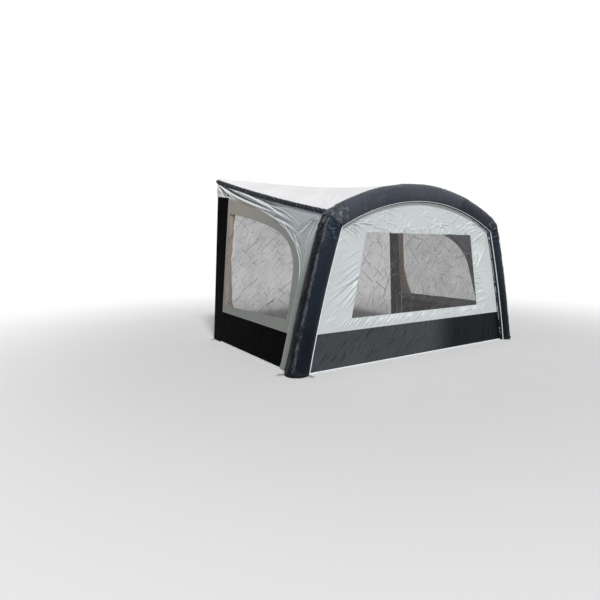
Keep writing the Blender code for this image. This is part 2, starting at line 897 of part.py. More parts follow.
def add_front_panel():
    """The front panel drops forward on its hem once its zips are open."""
    seam_angle = 2 * math.pi * panel_seam_vertex / tube_sides
    face_y = arch_y + (tube_radius + gap) * math.sin(seam_angle) - cloth
    hinge = add_pivot("front_panel_hinge", (0, face_y, hem_axis_height))
    edge = panel_edge()
    upper = [p for p in edge if p.y > front_band_height]
    line = edge_at(front_band_height)
    loop = [Vector((line, front_band_height))] + upper + [Vector((-line, front_band_height))]
    window = rounded([
        Vector((front_window_sill_half, front_window_sill)),
        Vector((front_window_head_half, front_window_head)),
        Vector((-front_window_head_half, front_window_head)),
        Vector((-front_window_sill_half, front_window_sill)),
    ], front_window_round)
    flat_panel("front_panel_cloth", [loop, window], silver, hinge, cloth)
    flat_panel("front_window", [offset_loop(window, gap)], clear, hinge, film, (cloth - film) / 2)
    low = 2 * hem_cord_radius + 2 * gap
    lower = [p for p in edge if low < p.y < front_band_height - gap and p.x > 0]
    top_half = edge_at(front_band_height - gap)
    low_half = edge_at(low)
    right = [Vector((low_half, low))] + lower + [Vector((top_half, front_band_height - gap))]
    left = [Vector((-p.x, p.y)) for p in reversed(right)]
    flat_panel("front_band", [right + left], charcoal, hinge, cloth)
    rings = []
    for end in (-low_half, low_half):
        ring = []
        for k in range(hem_cord_sides):
            angle = 2 * math.pi * (k + 0.5) / hem_cord_sides
            spread = hem_cord_radius / math.cos(math.pi / hem_cord_sides)
            ring.append(Vector((end, face_y + cloth / 2, hem_axis_height))
                        + Vector((0, math.cos(angle), math.sin(angle))) * spread)
        rings.append(ring)
    add_part("front_hem_cord", loft(rings), white, hinge)


# Small parts
def webbing_loop(name, start, direction, root):
    """An oval loop of webbing that lies level and points away from its seam."""
    along = direction.normalized()
    across = Vector((-along.y, along.x, 0))
    loops = []
    for inset in (0, loop_webbing):
        radius = loop_width / 2 - inset
        outline = []
        for centre, turn in ((loop_length - loop_width / 2, -1), (loop_width / 2, 1)):
            for k in range(loop_steps + 1):
                angle = math.pi * (k / loop_steps - 0.5)
                outline.append((centre - turn * radius * math.cos(angle), -turn * radius * math.sin(angle)))
        loops.append(outline)
    square = [(0, loop_width / 2), (0, -loop_width / 2)]
    loops[0] = loops[0][:loop_steps + 1] + square
    flat = fill(loops)

    def place(drop):
        return lambda a, b: start + along * a + across * b + Vector((0, 0, -drop))
    add_part(name, thicken(flat, place(0), place(loop_thickness)), black, root)


def add_loops(side, root):
    """Pegging loops: one in front of the foot, one beside it and one at the rear corner."""
    station = right_leg_stations()[0]
    level = sole_height + loop_thickness
    middle = cut_level([section_point(station, 0, 0)], station, level)[0]
    for name, turn in (("front", -tube_sides / 4 - 1), ("side", 1)):
        ring = cut_level([section_point(station, tube_radius, turn)], station, level)[0]
        way = Vector((side.sign * (ring.x - middle.x), ring.y - middle.y, 0))
        seat = Vector((side.sign * middle.x, middle.y, level)) + way + way.normalized() * running_gap
        webbing_loop(side.name + "_" + name + "_peg_loop", seat, way, root)
    rear = side.on_wall(-running_gap)(rear_loop_reach, sole_height)
    webbing_loop(side.name + "_rear_peg_loop", rear + Vector((0, 0, loop_thickness)),
                 Vector((side.sign, 0, 0)), root)


def slider_mesh(up, out, seat):
    """A zip slider with its hanging pull, one solid."""
    across = up.cross(out)
    outline = [
        (-slider_width / 2, 0), (-pull_width / 2, 0), (-pull_width / 2, -pull_length),
        (pull_width / 2, -pull_length), (pull_width / 2, 0), (slider_width / 2, 0),
        (slider_width / 2, slider_height), (-slider_width / 2, slider_height),
    ]
    flat = fill([outline])
    return thicken(
        flat,
        lambda a, b: seat + across * a + up * b + out * slider_thickness,
        lambda a, b: seat + across * a + up * b,
    )


def add_door_slider(side):
    """Slider at the foot of the door's zip, on the fixed side of its teeth."""
    reach = door_reach + zip_width / 2
    place = side.on_wall(-zip_proud - running_gap)
    seat = place(reach, slider_start)
    up = (place(reach, door_straight) - seat).normalized()
    out = up.cross(Vector((0, -side.sign, 0))).normalized()
    pivot = add_pivot(side.name + "_door_slider_seat", seat)
    bm = slider_mesh(up, out, seat)
    add_part(side.name + "_door_slider", bm, zinc, pivot)


def front_slider_axis():
    """Seat, upward and outward direction of the right front slider on the leg's inner front face."""
    bearings = [leg_bearing(h) for h in (front_slider_start, front_slider_start + front_slider_travel)]
    ends = []
    radius = leg_circle()[1]
    step = radius * (bend_bearings()[0] - leg_bearing(foot_height)) / leg_steps
    flat_radius = tube_radius * math.cos(math.pi / tube_sides) + step ** 2 / (8 * radius) + running_gap
    for angle in bearings:
        station = arc_stations(leg_circle(), angle, angle, 1)[0]
        ends.append(section_point(station, flat_radius, slider_vertex))
    up = (ends[1] - ends[0]).normalized()
    out = section_point(station, 1, slider_vertex) - section_point(station, 0, 0)
    out = (out - up * out.dot(up)).normalized()
    return ends[0], up, out


def add_front_slider(side):
    seat, up, out = front_slider_axis()
    flip = Vector((side.sign, 1, 1))
    seat, up, out = seat * flip, up * flip, out * flip
    pivot = add_pivot(side.name + "_front_slider_seat", seat)
    add_part(side.name + "_front_slider", slider_mesh(up, out, seat), zinc, pivot)


def valve_frame():
    """Middle and outward direction of the leg's flat face that carries the valve, on the left leg."""
    stations = right_leg_stations()[valve_step:valve_step + 2]
    corners = [section_point(s, tube_radius, k) for s in stations for k in (valve_side, valve_side + 1)]
    middle = sum(corners, Vector()) / 4
    along = corners[2] - corners[0]
    out = (corners[1] - corners[0]).cross(along).normalized()
    inward = section_point(stations[0], 0, 0) - middle
    if out.dot(inward) > 0:
        out.negate()
    flip = Vector((-1, 1, 1))
    return middle * flip, out * flip


def add_valve(root):
    """Valve body with its bore, the spring plunger in it and the screw cap over its neck."""
    middle, out = valve_frame()
    seat = middle + out * gap
    rim = valve_flange + valve_neck
    outside = [
        (valve_flange_radius, 0),
        (valve_flange_radius, valve_flange),
        (valve_neck_radius, valve_flange),
        (valve_neck_radius, rim),
    ]
    turned("valve_body", outside, [(valve_bore_radius, rim), (valve_bore_radius, valve_bore_floor)],
           grey_plastic, seat, out, root)
    plunger_seat = seat + out * (valve_bore_floor + plunger_travel)
    pivot = add_pivot("valve_plunger_seat", plunger_seat)
    radius = valve_bore_radius - gap
    stem = radius * plunger_stem_share
    outside = [(radius, 0), (radius, plunger_disc), (stem, plunger_disc), (stem, plunger_height)]
    turned("valve_plunger", outside, [], white, plunger_seat, out, pivot)
    cap_seat = seat + out * (valve_flange + gap)
    pivot = add_pivot("valve_cap_seat", cap_seat)
    outside = [(cap_radius, cap_height + cap_wall), (cap_radius, 0)]
    inside = [(valve_neck_radius + running_gap, 0), (valve_neck_radius + running_gap, cap_height)]
    turned("valve_cap", outside, inside, grey_plastic, cap_seat, out, pivot, cap_ribs_share)


def turned(name, outside, bore, finish, base, axis, pivot, ribs=1.0):
    """A turned piece from radius and height pairs: its outline runs along the outside, then down any bore.

    Ribs below 1 cut grooves into the outside.
    """
    across = axis.cross(Vector((0, 0, 1))).normalized()
    other = axis.cross(across)
    bm = bmesh.new()
    rows = []
    for radius, height in outside + bore:
        row = []
        for k in range(valve_sides):
            angle = 2 * math.pi * k / valve_sides
            reach = radius * (ribs if k % 2 and (radius, height) in outside else 1)
            spot = base + axis * height + (across * math.cos(angle) + other * math.sin(angle)) * reach
            row.append(bm.verts.new(spot))
        rows.append(row)
    for a, b in zip(rows, rows[1:]):
        bridge(bm, a, b)
    bm.faces.new(rows[0])
    bm.faces.new(rows[-1])
    add_part(name, bm, finish, pivot)


def clear_scene():
    for item in list(bpy.data.objects):
        bpy.data.objects.remove(item, do_unlink=True)


def main():
    clear_scene()
    root = add_pivot("awning", (0, 0, 0))
    add_arch(root)
    add_piping(root)
    add_roof(root)
    add_rail_bead(root)
    for side in (Side("left", -1), Side("right", 1)):
        add_foot(side, root)
        add_wall(side, root)
        add_flange(side, root)
        add_strip(side, root)
        add_zip(side, root)
        add_door(side)
        add_brace(side, root)
        add_corner_strap(side, root)
        add_loops(side, root)
        add_door_slider(side)
        add_front_slider(side)
    add_front_panel()
    add_valve(root)


main()
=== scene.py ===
import math

import bpy
import numpy as np
from mathutils import Matrix, Vector


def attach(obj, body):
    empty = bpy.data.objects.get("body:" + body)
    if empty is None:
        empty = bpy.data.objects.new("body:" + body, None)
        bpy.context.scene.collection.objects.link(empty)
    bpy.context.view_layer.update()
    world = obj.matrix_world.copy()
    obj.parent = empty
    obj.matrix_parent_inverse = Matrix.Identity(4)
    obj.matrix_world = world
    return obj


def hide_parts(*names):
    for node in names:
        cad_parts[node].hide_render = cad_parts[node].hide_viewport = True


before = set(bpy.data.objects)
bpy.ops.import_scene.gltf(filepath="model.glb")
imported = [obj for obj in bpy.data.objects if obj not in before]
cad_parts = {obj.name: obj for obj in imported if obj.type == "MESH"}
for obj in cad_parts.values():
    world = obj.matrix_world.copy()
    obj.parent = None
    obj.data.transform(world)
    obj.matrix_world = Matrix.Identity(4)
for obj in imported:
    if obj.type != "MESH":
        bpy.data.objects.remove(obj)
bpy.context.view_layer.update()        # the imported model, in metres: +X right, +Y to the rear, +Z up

sides = {"left": -1, "right": 1}


# camera, light and floor
view = {"place": (-4.4036, -5.0932, 1.3721), "yaw": 32.58, "pitch": 6.46, "roll": -0.16, "lens": 26.236,
        "sensor": 36, "farthest": 200}
light = {"sunTurn": (-0.22, -0.70, 0.68), "sunStrength": 2.65, "sunAngle": 12, "sky": 0.20, "background": 1.0}
ground = {"tone": 0.82, "patches": 0.01, "patchScale": 1.5, "fade": (2.6, 8.5), "size": 90, "rough": 0.9,
          "specular": 0.1}


class Wire:
    # what a shader node gives out; sums with it add math nodes
    def __init__(self, socket):
        self.socket, self.tree = socket, socket.id_data

    def also(self, name):
        return Wire(self.socket.node.outputs[name])

    def __add__(self, other):
        return calculate("ADD", self, other)

    def __sub__(self, other):
        return calculate("SUBTRACT", self, other)

    def __rsub__(self, other):
        return calculate("SUBTRACT", other, self)

    def __mul__(self, other):
        return calculate("MULTIPLY", self, other)

    def __truediv__(self, other):
        return calculate("DIVIDE", self, other)

    def __abs__(self):
        return calculate("ABSOLUTE", self)


def fill(inputs, given):
    for key, value in given.items():
        if isinstance(value, Wire):
            value.tree.links.new(value.socket, inputs[key])
        else:
            inputs[key].default_value = value


def newNode(tree, kind, given=None, out=0, **settings):
    made = tree.nodes.new("ShaderNode" + kind)
    for key, value in settings.items():
        setattr(made, key, value)
    fill(made.inputs, given or {})
    return Wire(made.outputs[out])


def calculate(operation, *values):
    tree = next(value.tree for value in values if isinstance(value, Wire))
    return newNode(tree, "Math", dict(enumerate(values)), operation=operation)


def most(first, *others):
    for other in others:
        first = calculate("MAXIMUM", first, other)
    return first


def ramp(value, low, high, start=0.0, end=1.0, kind="SMOOTHSTEP"):
    given = {"Value": value, "From Min": low, "From Max": high, "To Min": start, "To Max": end}
    return newNode(value.tree, "MapRange", given, interpolation_type=kind)


def falling(value, low, high, start=1.0):
    return ramp(value, low, high, start, 0.0)


def grey(tone):
    return (tone,) * 3


def mix(share, first, second):
    # the first colour goes over to the second one
    first, second = ((*item, 1) if isinstance(item, tuple) else item for item in (first, second))
    return newNode(share.tree, "Mix", {0: share, 6: first, 7: second}, 2, data_type="RGBA")


def noise(wire, scale, detail=3.0, rough=0.5, distortion=0.0):
    given = {"Vector": wire, "Scale": scale, "Detail": detail, "Roughness": rough, "Distortion": distortion}
    return newNode(wire.tree, "TexNoise", given, "Fac")


def placeOf(tree):
    # the point on the piece itself, so that marks move with it
    return newNode(tree, "TexCoord", out="Object")


def seenBackground(tree):
    # 1 for rays that show the background: straight, mirrored or through glass
    path = newNode(tree, "LightPath")
    return most(*(path.also("Is %s Ray" % kind) for kind in ("Camera", "Glossy", "Transmission")))


def newFinish(name, roughness, specular, sheen=None):
    paint = bpy.data.materials.new(name)
    paint.use_nodes = True
    shader = paint.node_tree.nodes["Principled BSDF"]
    fill(shader.inputs, {"Roughness": roughness, "Specular IOR Level": specular})
    if sheen is not None:
        fill(shader.inputs, {"Sheen Weight": sheen, "Sheen Roughness": 0.4})
    return paint, paint.node_tree, shader


def addFloor():
    bpy.ops.mesh.primitive_plane_add(size=ground["size"])
    floor = bpy.context.active_object
    floor.name = "studioFloor"
    paint, tree, shader = newFinish("studioFloor", ground["rough"], ground["specular"])
    spot, tone, patches = placeOf(tree), ground["tone"], ground["patches"]
    colour = mix(noise(spot, ground["patchScale"], 2.0), grey(tone - patches), grey(tone + patches))
    fill(shader.inputs, {"Base Color": colour})
    far = newNode(tree, "VectorMath", {0: spot}, "Value", operation="LENGTH")
    share = ramp(far, *ground["fade"]) * seenBackground(tree)
    shown = newNode(tree, "MixShader", {0: share, 1: Wire(shader.outputs[0]), 2: newNode(tree, "Emission")})
    fill(tree.nodes["Material Output"].inputs, {"Surface": shown})
    floor.data.materials.append(paint)


def setUpStage():
    scene = bpy.context.scene
    scene.view_settings.view_transform = "Standard"
    world = scene.world = bpy.data.worlds.new("studioSky")
    world.use_nodes = True
    tree = world.node_tree
    colour = mix(seenBackground(tree), grey(light["sky"]), grey(light["background"]))
    fill(tree.nodes["Background"].inputs, {"Color": colour})
    bpy.ops.object.select_all(action="DESELECT")
    bpy.ops.object.light_add(type="SUN")
    sun = bpy.context.active_object
    sun.name = "studioLamp"
    sun.data.energy = light["sunStrength"]
    sun.data.angle = math.radians(light["sunAngle"])
    sun.rotation_euler = Vector(light["sunTurn"]).to_track_quat("Z", "Y").to_euler()
    addFloor()
    bpy.ops.object.camera_add(location=view["place"])
    camera = scene.camera = bpy.context.active_object
    camera.name = "photoCamera"
    yaw, pitch, roll = (Matrix.Rotation(math.radians(angle), 3, axis) for angle, axis in (
        (-view["yaw"], "Z"), (90 - view["pitch"], "X"), (view["roll"], "Z")))
    camera.rotation_euler = (yaw @ pitch @ roll).to_euler()
    camera.data.sensor_width, camera.data.lens, camera.data.clip_end = view["sensor"], view["lens"], view["farthest"]


setUpStage()
print("stage: floor, lamp and camera")


# finishes
# UV map "cloth" is the cut of each sheet in metres; "seam" is the length along it and the distance to its edge;
# attribute "fold" is above 0 on the ridges of folds and below 0 in their troughs.
# the finishes paint highlights on fold ridges and shade in fold troughs from that attribute
weave = {"pitch": 0.0014, "depth": 0.0002, "strength": 0.4, "crinkle": 0.012}
stitch = {"pitch": 0.0042, "filled": 0.62, "rows": (0.006, 0.013), "halfWidth": 0.0006, "edge": 0.018,
          "fade": 0.001, "thread": 0.8, "sunk": 0.7, "depth": 0.0006, "strength": 0.8}
archRun = 6.4004         # length of the arch, foot to foot
silverTape = (0.50, 0.535, 0.54)


def cutOf(tree, name="cloth"):
    # a place on the sheet laid flat
    return newNode(tree, "UVMap", out="UV", uv_map=name)


def split(wire):
    parts = newNode(wire.tree, "SeparateXYZ", {0: wire})
    return parts, parts.also("Y"), parts.also("Z")


def moved(wire, **change):
    # shifted by Location or drawn out by Scale
    return newNode(wire.tree, "Mapping", {"Vector": wire, **change})


def ribs(wire, direction, pitch):
    # fine parallel ribs
    given = {"Vector": wire, "Scale": 2 * math.pi / (20 * pitch)}
    return newNode(wire.tree, "TexWave", given, "Fac", bands_direction=direction)


def bump(height, distance, strength, *below):
    given = {"Strength": strength, "Distance": distance, "Height": height}
    return newNode(height.tree, "Bump", given | {"Normal": wire for wire in below})


def stitchMask(tree):
    # rows of thread dashes beside each long edge of a sheet, and its doubled hem
    along, edge, _ = split(cutOf(tree, "seam"))
    dash = calculate("LESS_THAN", calculate("FRACT", along / stitch["pitch"]), stitch["filled"])
    rows = most(*(calculate("COMPARE", edge, row, stitch["halfWidth"]) for row in stitch["rows"]))
    return dash * rows, falling(edge, stitch["edge"] - stitch["fade"], stitch["edge"])


def clothFinish(name, look, pattern=None):
    # woven coated cloth: two tones, weave, fine crinkle, thread rows and a doubled hem
    paint, tree, shader = newFinish(name, look["rough"], look["specular"], look.get("sheen", 0.0))
    cut = cutOf(tree)
    colour = mix(ramp(noise(placeOf(tree), 2.3, 4.0, 0.6), 0.35, 0.65), look["tone"], look["colour"])
    if pattern:
        colour = pattern(cut, colour)
    thread, hem = stitchMask(tree)
    drawn = moved(cut, Scale=(1.0, look.get("drawn", 1.0), 1.0))
    crinkle = noise(drawn, look.get("crinkleScale", 26.0), 5.0, 0.55, 0.9)
    normal = bump(abs(crinkle - 0.5), weave["crinkle"], look["crinkle"])
    normal = bump(ribs(cut, "X", weave["pitch"]) * ribs(cut, "Y", weave["pitch"]), weave["depth"], weave["strength"],
                  normal)
    fill(shader.inputs, {
        "Base Color": mix(thread * stitch["thread"], colour, look["thread"]),
        "Roughness": ramp(crinkle, 0.3, 0.7, look["rough"] - 0.06, look["rough"] + 0.08),
        "Normal": bump(hem - thread * stitch["sunk"], stitch["depth"], stitch["strength"], normal)})
    return paint


def creaseDashes(wire, turn, spread, scale, width, length, seed):
    # short straight creases, one in each cell, all lying roughly one way; from 0 to 1
    tree = wire.tree
    placed = moved(wire, Location=(seed * 1.71, seed * 0.93, 0))
    cells = newNode(tree, "TexVoronoi", {"Scale": scale, "Vector": placed}, "Color", feature="F1",
                    voronoi_dimensions="2D")
    off = newNode(tree, "VectorMath", {0: placed, 1: cells.also("Position")}, operation="SUBTRACT")
    tilt, size, weight = split(cells)
    angle = ramp(tilt, 0.0, 1.0, math.radians(turn - spread), math.radians(turn + spread), "LINEAR")
    spin = newNode(tree, "VectorRotate", {"Vector": off, "Angle": angle * -1.0}, rotation_type="Z_AXIS")
    along, across, _ = split(spin)
    line = falling(abs(across), width * 0.3, width)
    reach = ramp(size, 0.0, 1.0, length * 0.35, length, "LINEAR")
    return line * falling(abs(along) / reach, 0.6, 1.0) * ramp(weight, 0.25, 0.85, 0.0, 1.0, "LINEAR")


def paintedFoldShading(colour, pale, dark, low, high):
    # painted highlights: ridges go over to the pale colour; painted shade: troughs go over to the dark one
    fold = newNode(colour.tree, "Attribute", out="Fac", attribute_name="fold")
    colour = mix(falling(fold, *low, 0.85), colour, dark)
    return mix(ramp(fold, *high, 0.0, 0.9), colour, pale)


def fromFoot(along):
    return calculate("MINIMUM", along, archRun - along)


def legPattern(cut, colour):
    # black cloth from the seam on the outer front round to the rear, with painted glints and a painted highlight on
    # the seam ridge
    around, along, _ = split(cut)
    black = ramp(around, -0.1035, -0.1005) * falling(around, 0.235, 0.238)
    colour = mix(black, colour, (0.0062, 0.0080, 0.0112))
    # the cloth is darker towards the foot
    colour = mix(falling(fromFoot(along), 0.15, 1.6, 0.80), colour, (0.003, 0.0045, 0.0075))
    # a pale line along the seam: a painted highlight where its ridge catches the light
    wander = (noise(cut, 7.0, 5.0, 0.65) - 0.5) * 0.07
    wearAndHighlight = falling(abs(around + 0.083 + wander), 0.003, 0.026, 0.85)
    patchy = ramp(noise(cut, 6.0, 5.0, 0.7), 0.38, 0.58, 0.12, 1.0)
    # painted glints: fine bright streaks along the black part
    drawn = noise(moved(cut, Scale=(1.0, 0.07, 1.0)), 34.0, 2.0, 0.6)
    glint = falling(abs(drawn - 0.5), 0.0, 0.016, 0.75)
    glint = glint * ramp(noise(cut, 4.5), 0.42, 0.58) * ramp(around, -0.14, -0.09, 0.08, 1.0)
    colour = mix(most(glint, wearAndHighlight * patchy), colour, (0.098, 0.107, 0.125))
    return paintedFoldShading(colour, (0.088, 0.098, 0.118), (0.004, 0.005, 0.008), (-1.1, -0.30), (0.16, 0.75))


def crownPattern(cut, colour):
    # painted sheen up to a diagonal seam by the right shoulder, painted light on folds and seam ridge, a silver strip
    around, along, _ = split(cut)
    # past the seam the crown shows plain navy, without the painted sheen of its look
    colour = mix(falling(along + around * 0.45, 2.440, 2.446), colour, (0.0215, 0.0255, 0.036))
    colour = paintedFoldShading(colour, (0.130, 0.142, 0.165), (0.016, 0.019, 0.025), (-1.1, -0.30), (0.16, 0.80))
    # a pale line along the seam on the outer front: a painted highlight where its ridge catches the light
    colour = mix(falling(abs(around + 0.094), 0.002, 0.012, 0.30), colour, (0.12, 0.13, 0.15))
    return mix(falling(abs(around + 0.350), 0.0100, 0.0106), colour, silverTape)


def bandPattern(cut, colour):
    # painted shade in creases on the left; the painted sheen of the band's look dies out to darker cloth on the right
    across = split(cut)[0]
    # dark crease lines of painted shade, stronger on the left
    lines = most(creaseDashes(cut, 42, 9, 5.5, 0.0080, 0.17, 3), creaseDashes(cut, 52, 22, 9.0, 0.0065, 0.10, 5))
    colour = mix(lines * ramp(across, -0.1, 0.5, 0.95, 0.4), colour, (0.010, 0.012, 0.015))
    # the painted sheen dies out to the darker cloth on the right
    return mix(ramp(across, 0.05, 0.75), colour, (0.0025, 0.0044, 0.0062))


def roofSleevePattern(cut, colour):
    # the roof-edge sleeve is drawn up in regular wrinkles, painted light on their ridges and painted shade in the
    # troughs
    return paintedFoldShading(colour, (0.110, 0.117, 0.140), (0.007, 0.009, 0.013), (-0.80, -0.05), (0.20, 0.95))


def frontPattern(cut, colour):
    # crisp folds at the right end of the front panel: painted highlights on ridges, painted shade in troughs
    return paintedFoldShading(colour, (0.86, 0.88, 0.88), (0.36, 0.385, 0.39), (-0.45, -0.03), (0.08, 0.62))


def framePattern(cut, colour):
    # a warmer grey towards the rear top
    reach, height, _ = split(cut)
    return mix(ramp(height - reach * 0.7, 0.2, 1.7), colour, (0.335, 0.316, 0.286))


def wallPattern(cut, colour):
    # painted light on pleats at the rear top corner; painted shade turns the strip beside the leg to the door's grey
    # low down
    reach, height, _ = split(cut)
    # painted shade: darker low down, in the door's grey
    colour = mix(falling(height, 0.80, 1.80), colour, (0.215, 0.24, 0.237))
    # painted light: the pleats near the rear top corner go over to a lighter silver
    colour = mix(falling(reach + height * -0.5, -1.05, 0.25, 0.95), colour, (0.80, 0.82, 0.83))
    # streaks of painted shade and painted highlight, running out from the corner
    drop, ahead = 2.43 - height, reach + 0.03          # streaks that run out from the corner
    far = calculate("POWER", ahead * ahead + drop * drop, 0.5)
    rays = newNode(cut.tree, "CombineXYZ", {"X": calculate("ARCTAN2", ahead, drop), "Y": far * 0.12})
    streak = noise(rays, 8.5, 2.0, 0.6)
    shade = falling(streak, 0.40, 0.49) * falling(far, 0.35, 1.3, 0.80)
    glow = ramp(streak, 0.52, 0.60) * falling(far, 0.35, 1.5, 0.90)
    colour = mix(glow, mix(shade, colour, (0.16, 0.17, 0.175)), (0.90, 0.92, 0.93))
    # painted highlights on the pleat ridges and painted shade in their troughs
    return paintedFoldShading(colour, (0.88, 0.90, 0.91), (0.125, 0.135, 0.14), (-0.7, -0.03), (0.12, 1.1))


def doorZipPattern(cut, colour):
    # the door zip is white round the upper front of the door and grey elsewhere
    reach, height, _ = split(cut)
    return mix(most(falling(height, 0.98, 1.10, 0.95), falling(reach, 0.7, 1.3, 0.65)), colour, (0.27, 0.295, 0.285))


def frontZipPattern(cut, colour):
    # the panel's side of the front zip is bound in white, and over the top its tape is silver
    across, along, _ = split(cut)
    colour = mix(falling(across, -0.0064, -0.0058), colour, (0.86, 0.88, 0.90))
    over = ramp(fromFoot(along), 1.52, 1.60) * falling(across, 0.0038, 0.0044)
    return mix(over, colour, silverTape)


def loopPattern(cut, colour):
    # the outer end of a peg loop is white
    return mix(ramp(abs(split(cut)[1] - 0.12), 0.072, 0.076), colour, (0.85, 0.85, 0.84))


def filmFinish(name, look):
    # clear window film: a slight grey deepened by painted shade, soft gloss, and fine creases painted as shade and
    # highlight
    paint, tree, shader = newFinish(name, 0.16, 0.22, 0.0)
    cut = cutOf(tree)

    def creases(shift):
        spot = moved(cut, Location=(shift, -shift * 0.7, 0))
        return most(*(creaseDashes(spot, *net, k + 1) * weight for k, (*net, weight) in enumerate(look["nets"])))

    # painted shade along each crease and a painted highlight just beside it
    dark, pale = creases(0.0), creases(0.006)
    clear = ramp(split(cut)[0], 0.40, 0.54, *look["alpha"])          # clearer in front of the gathered curtain
    haze = ramp(noise(cut, 3.5, 4.0), 0.3, 0.7, 0.92, 1.08)
    fill(shader.inputs, {
        "Base Color": mix(dark * 0.95, mix(pale * 0.45, look["colour"], grey(0.75)), grey(0.02)),
        "Alpha": haze * clear + pale * 0.08 + dark * look["dark"],
        "Normal": bump(noise(cut, 9.0, 4.0, 0.55, 0.8), 0.012, 0.35, bump(dark, 0.002, 0.6))})
    return paint


def airFinish(name):
    # milky air-tube film
    paint, tree, shader = newFinish(name, 0.3, 0.5, 0.0)
    spot = placeOf(tree)
    fill(shader.inputs, {
        "Base Color": mix(ramp(noise(spot, 6.0, 4.0), 0.35, 0.65), (0.62, 0.64, 0.60), (0.72, 0.74, 0.70)),
        "Normal": bump(noise(spot, 30.0), 0.004, 0.3)})
    return paint


def trimFinish(name, colour, tone, roughness, pitch, pattern=None):
    # webbing, cord and zip tape: ribs across the length
    paint, tree, shader = newFinish(name, roughness, 0.3, 0.1)
    cut = cutOf(tree)
    rib = ribs(cut, "Y", pitch)
    wearAndHighlight = ramp(noise(placeOf(tree), 14.0, 4.0, 0.6), 0.35, 0.7)
    colour = mix((rib + wearAndHighlight) * 0.5, tone, colour)
    fill(shader.inputs, {
        "Base Color": pattern(cut, colour) if pattern else colour,
        "Normal": bump(ribs(cut, "X", pitch * 0.7), pitch / 8, 0.5, bump(rib, pitch / 3, 0.6))})
    return paint


def hardFinish(name, colour, roughness, metal, grain):
    # moulded plastic or cast metal, with a fine grain and small scuffs
    paint, tree, shader = newFinish(name, roughness, 0.5, 0.0)
    spot = placeOf(tree)
    scuff = noise(spot, 180.0, 4.0, 0.65)
    fill(shader.inputs, {
        "Metallic": metal,
        "Base Color": mix(ramp(scuff, 0.35, 0.65), tuple(c * 0.75 for c in colour), colour),
        "Roughness": ramp(scuff, 0.3, 0.7, roughness - 0.08, roughness + 0.12),
        "Normal": bump(noise(spot, 900.0, 2.0), 0.0002, grain)})
    return paint


looks = {
    "silver": {"colour": (0.570, 0.608, 0.615), "tone": (0.53, 0.565, 0.575), "thread": (0.45, 0.48, 0.49),
               "rough": 0.36, "specular": 0.42, "sheen": 0.03, "crinkle": 0.5},
    # the same silver cloth darkened with painted shade for the side walls
    "shadedSilver": {"colour": (0.430, 0.468, 0.488), "tone": (0.40, 0.435, 0.455), "thread": (0.40, 0.42, 0.43),
                   "rough": 0.36, "specular": 0.42, "sheen": 0.03, "crinkle": 0.5},
    "pale": {"colour": (0.90, 0.90, 0.91), "tone": (0.84, 0.84, 0.855), "thread": (0.72, 0.72, 0.72),
             "rough": 0.55, "specular": 0.3, "crinkle": 0.4, "crinkleScale": 14.0},
    "frameGrey": {"colour": (0.252, 0.266, 0.252), "tone": (0.235, 0.248, 0.236), "thread": (0.43, 0.44, 0.43),
                  "rough": 0.6, "specular": 0.12, "crinkle": 0.25},
    "navy": {"colour": (0.0160, 0.0262, 0.0400), "tone": (0.0122, 0.0196, 0.0300), "thread": (0.03, 0.035, 0.05),
             "rough": 0.34, "specular": 0.07, "crinkle": 1.0, "drawn": 0.22, "crinkleScale": 34.0},
    # the crown: the navy cloth lightened with painted sheen where it faces up and forward
    "navyWithSheen": {"colour": (0.054, 0.061, 0.076), "tone": (0.042, 0.048, 0.062), "thread": (0.03, 0.033, 0.04),
                 "rough": 0.40, "specular": 0.14, "crinkle": 0.9, "crinkleScale": 20.0},
    # the front band: dark cloth lightened with painted sheen, which its pattern lets die out to the right
    "bandWithSheen": {"colour": (0.058, 0.061, 0.067), "tone": (0.050, 0.053, 0.058), "thread": (0.03, 0.033, 0.04),
                 "rough": 0.40, "specular": 0.10, "crinkle": 0.7},
    "black": {"colour": (0.0024, 0.0026, 0.0022), "tone": (0.0018, 0.0019, 0.0017), "thread": (0.006,) * 3,
              "rough": 0.55, "specular": 0.01, "crinkle": 0.3},
    "boot": {"colour": (0.011, 0.0135, 0.0145), "tone": (0.008, 0.010, 0.011), "thread": (0.02, 0.02, 0.02),
             "rough": 0.5, "specular": 0.08, "crinkle": 0.5},
    "curtain": {"colour": (0.84, 0.63, 0.47), "tone": (0.80, 0.66, 0.55), "thread": (0.5, 0.42, 0.35),
                "rough": 0.8, "specular": 0.1, "sheen": 0.1, "crinkle": 0.3},
}
patterns = {"crown": ("navyWithSheen", crownPattern), "leg": ("navy", legPattern), "bandWithSheen": ("bandWithSheen", bandPattern),
            "frameGrey": ("frameGrey", framePattern), "wallSilver": ("shadedSilver", wallPattern),
            "roofSleeve": ("navy", roofSleevePattern), "frontSilver": ("silver", frontPattern)}
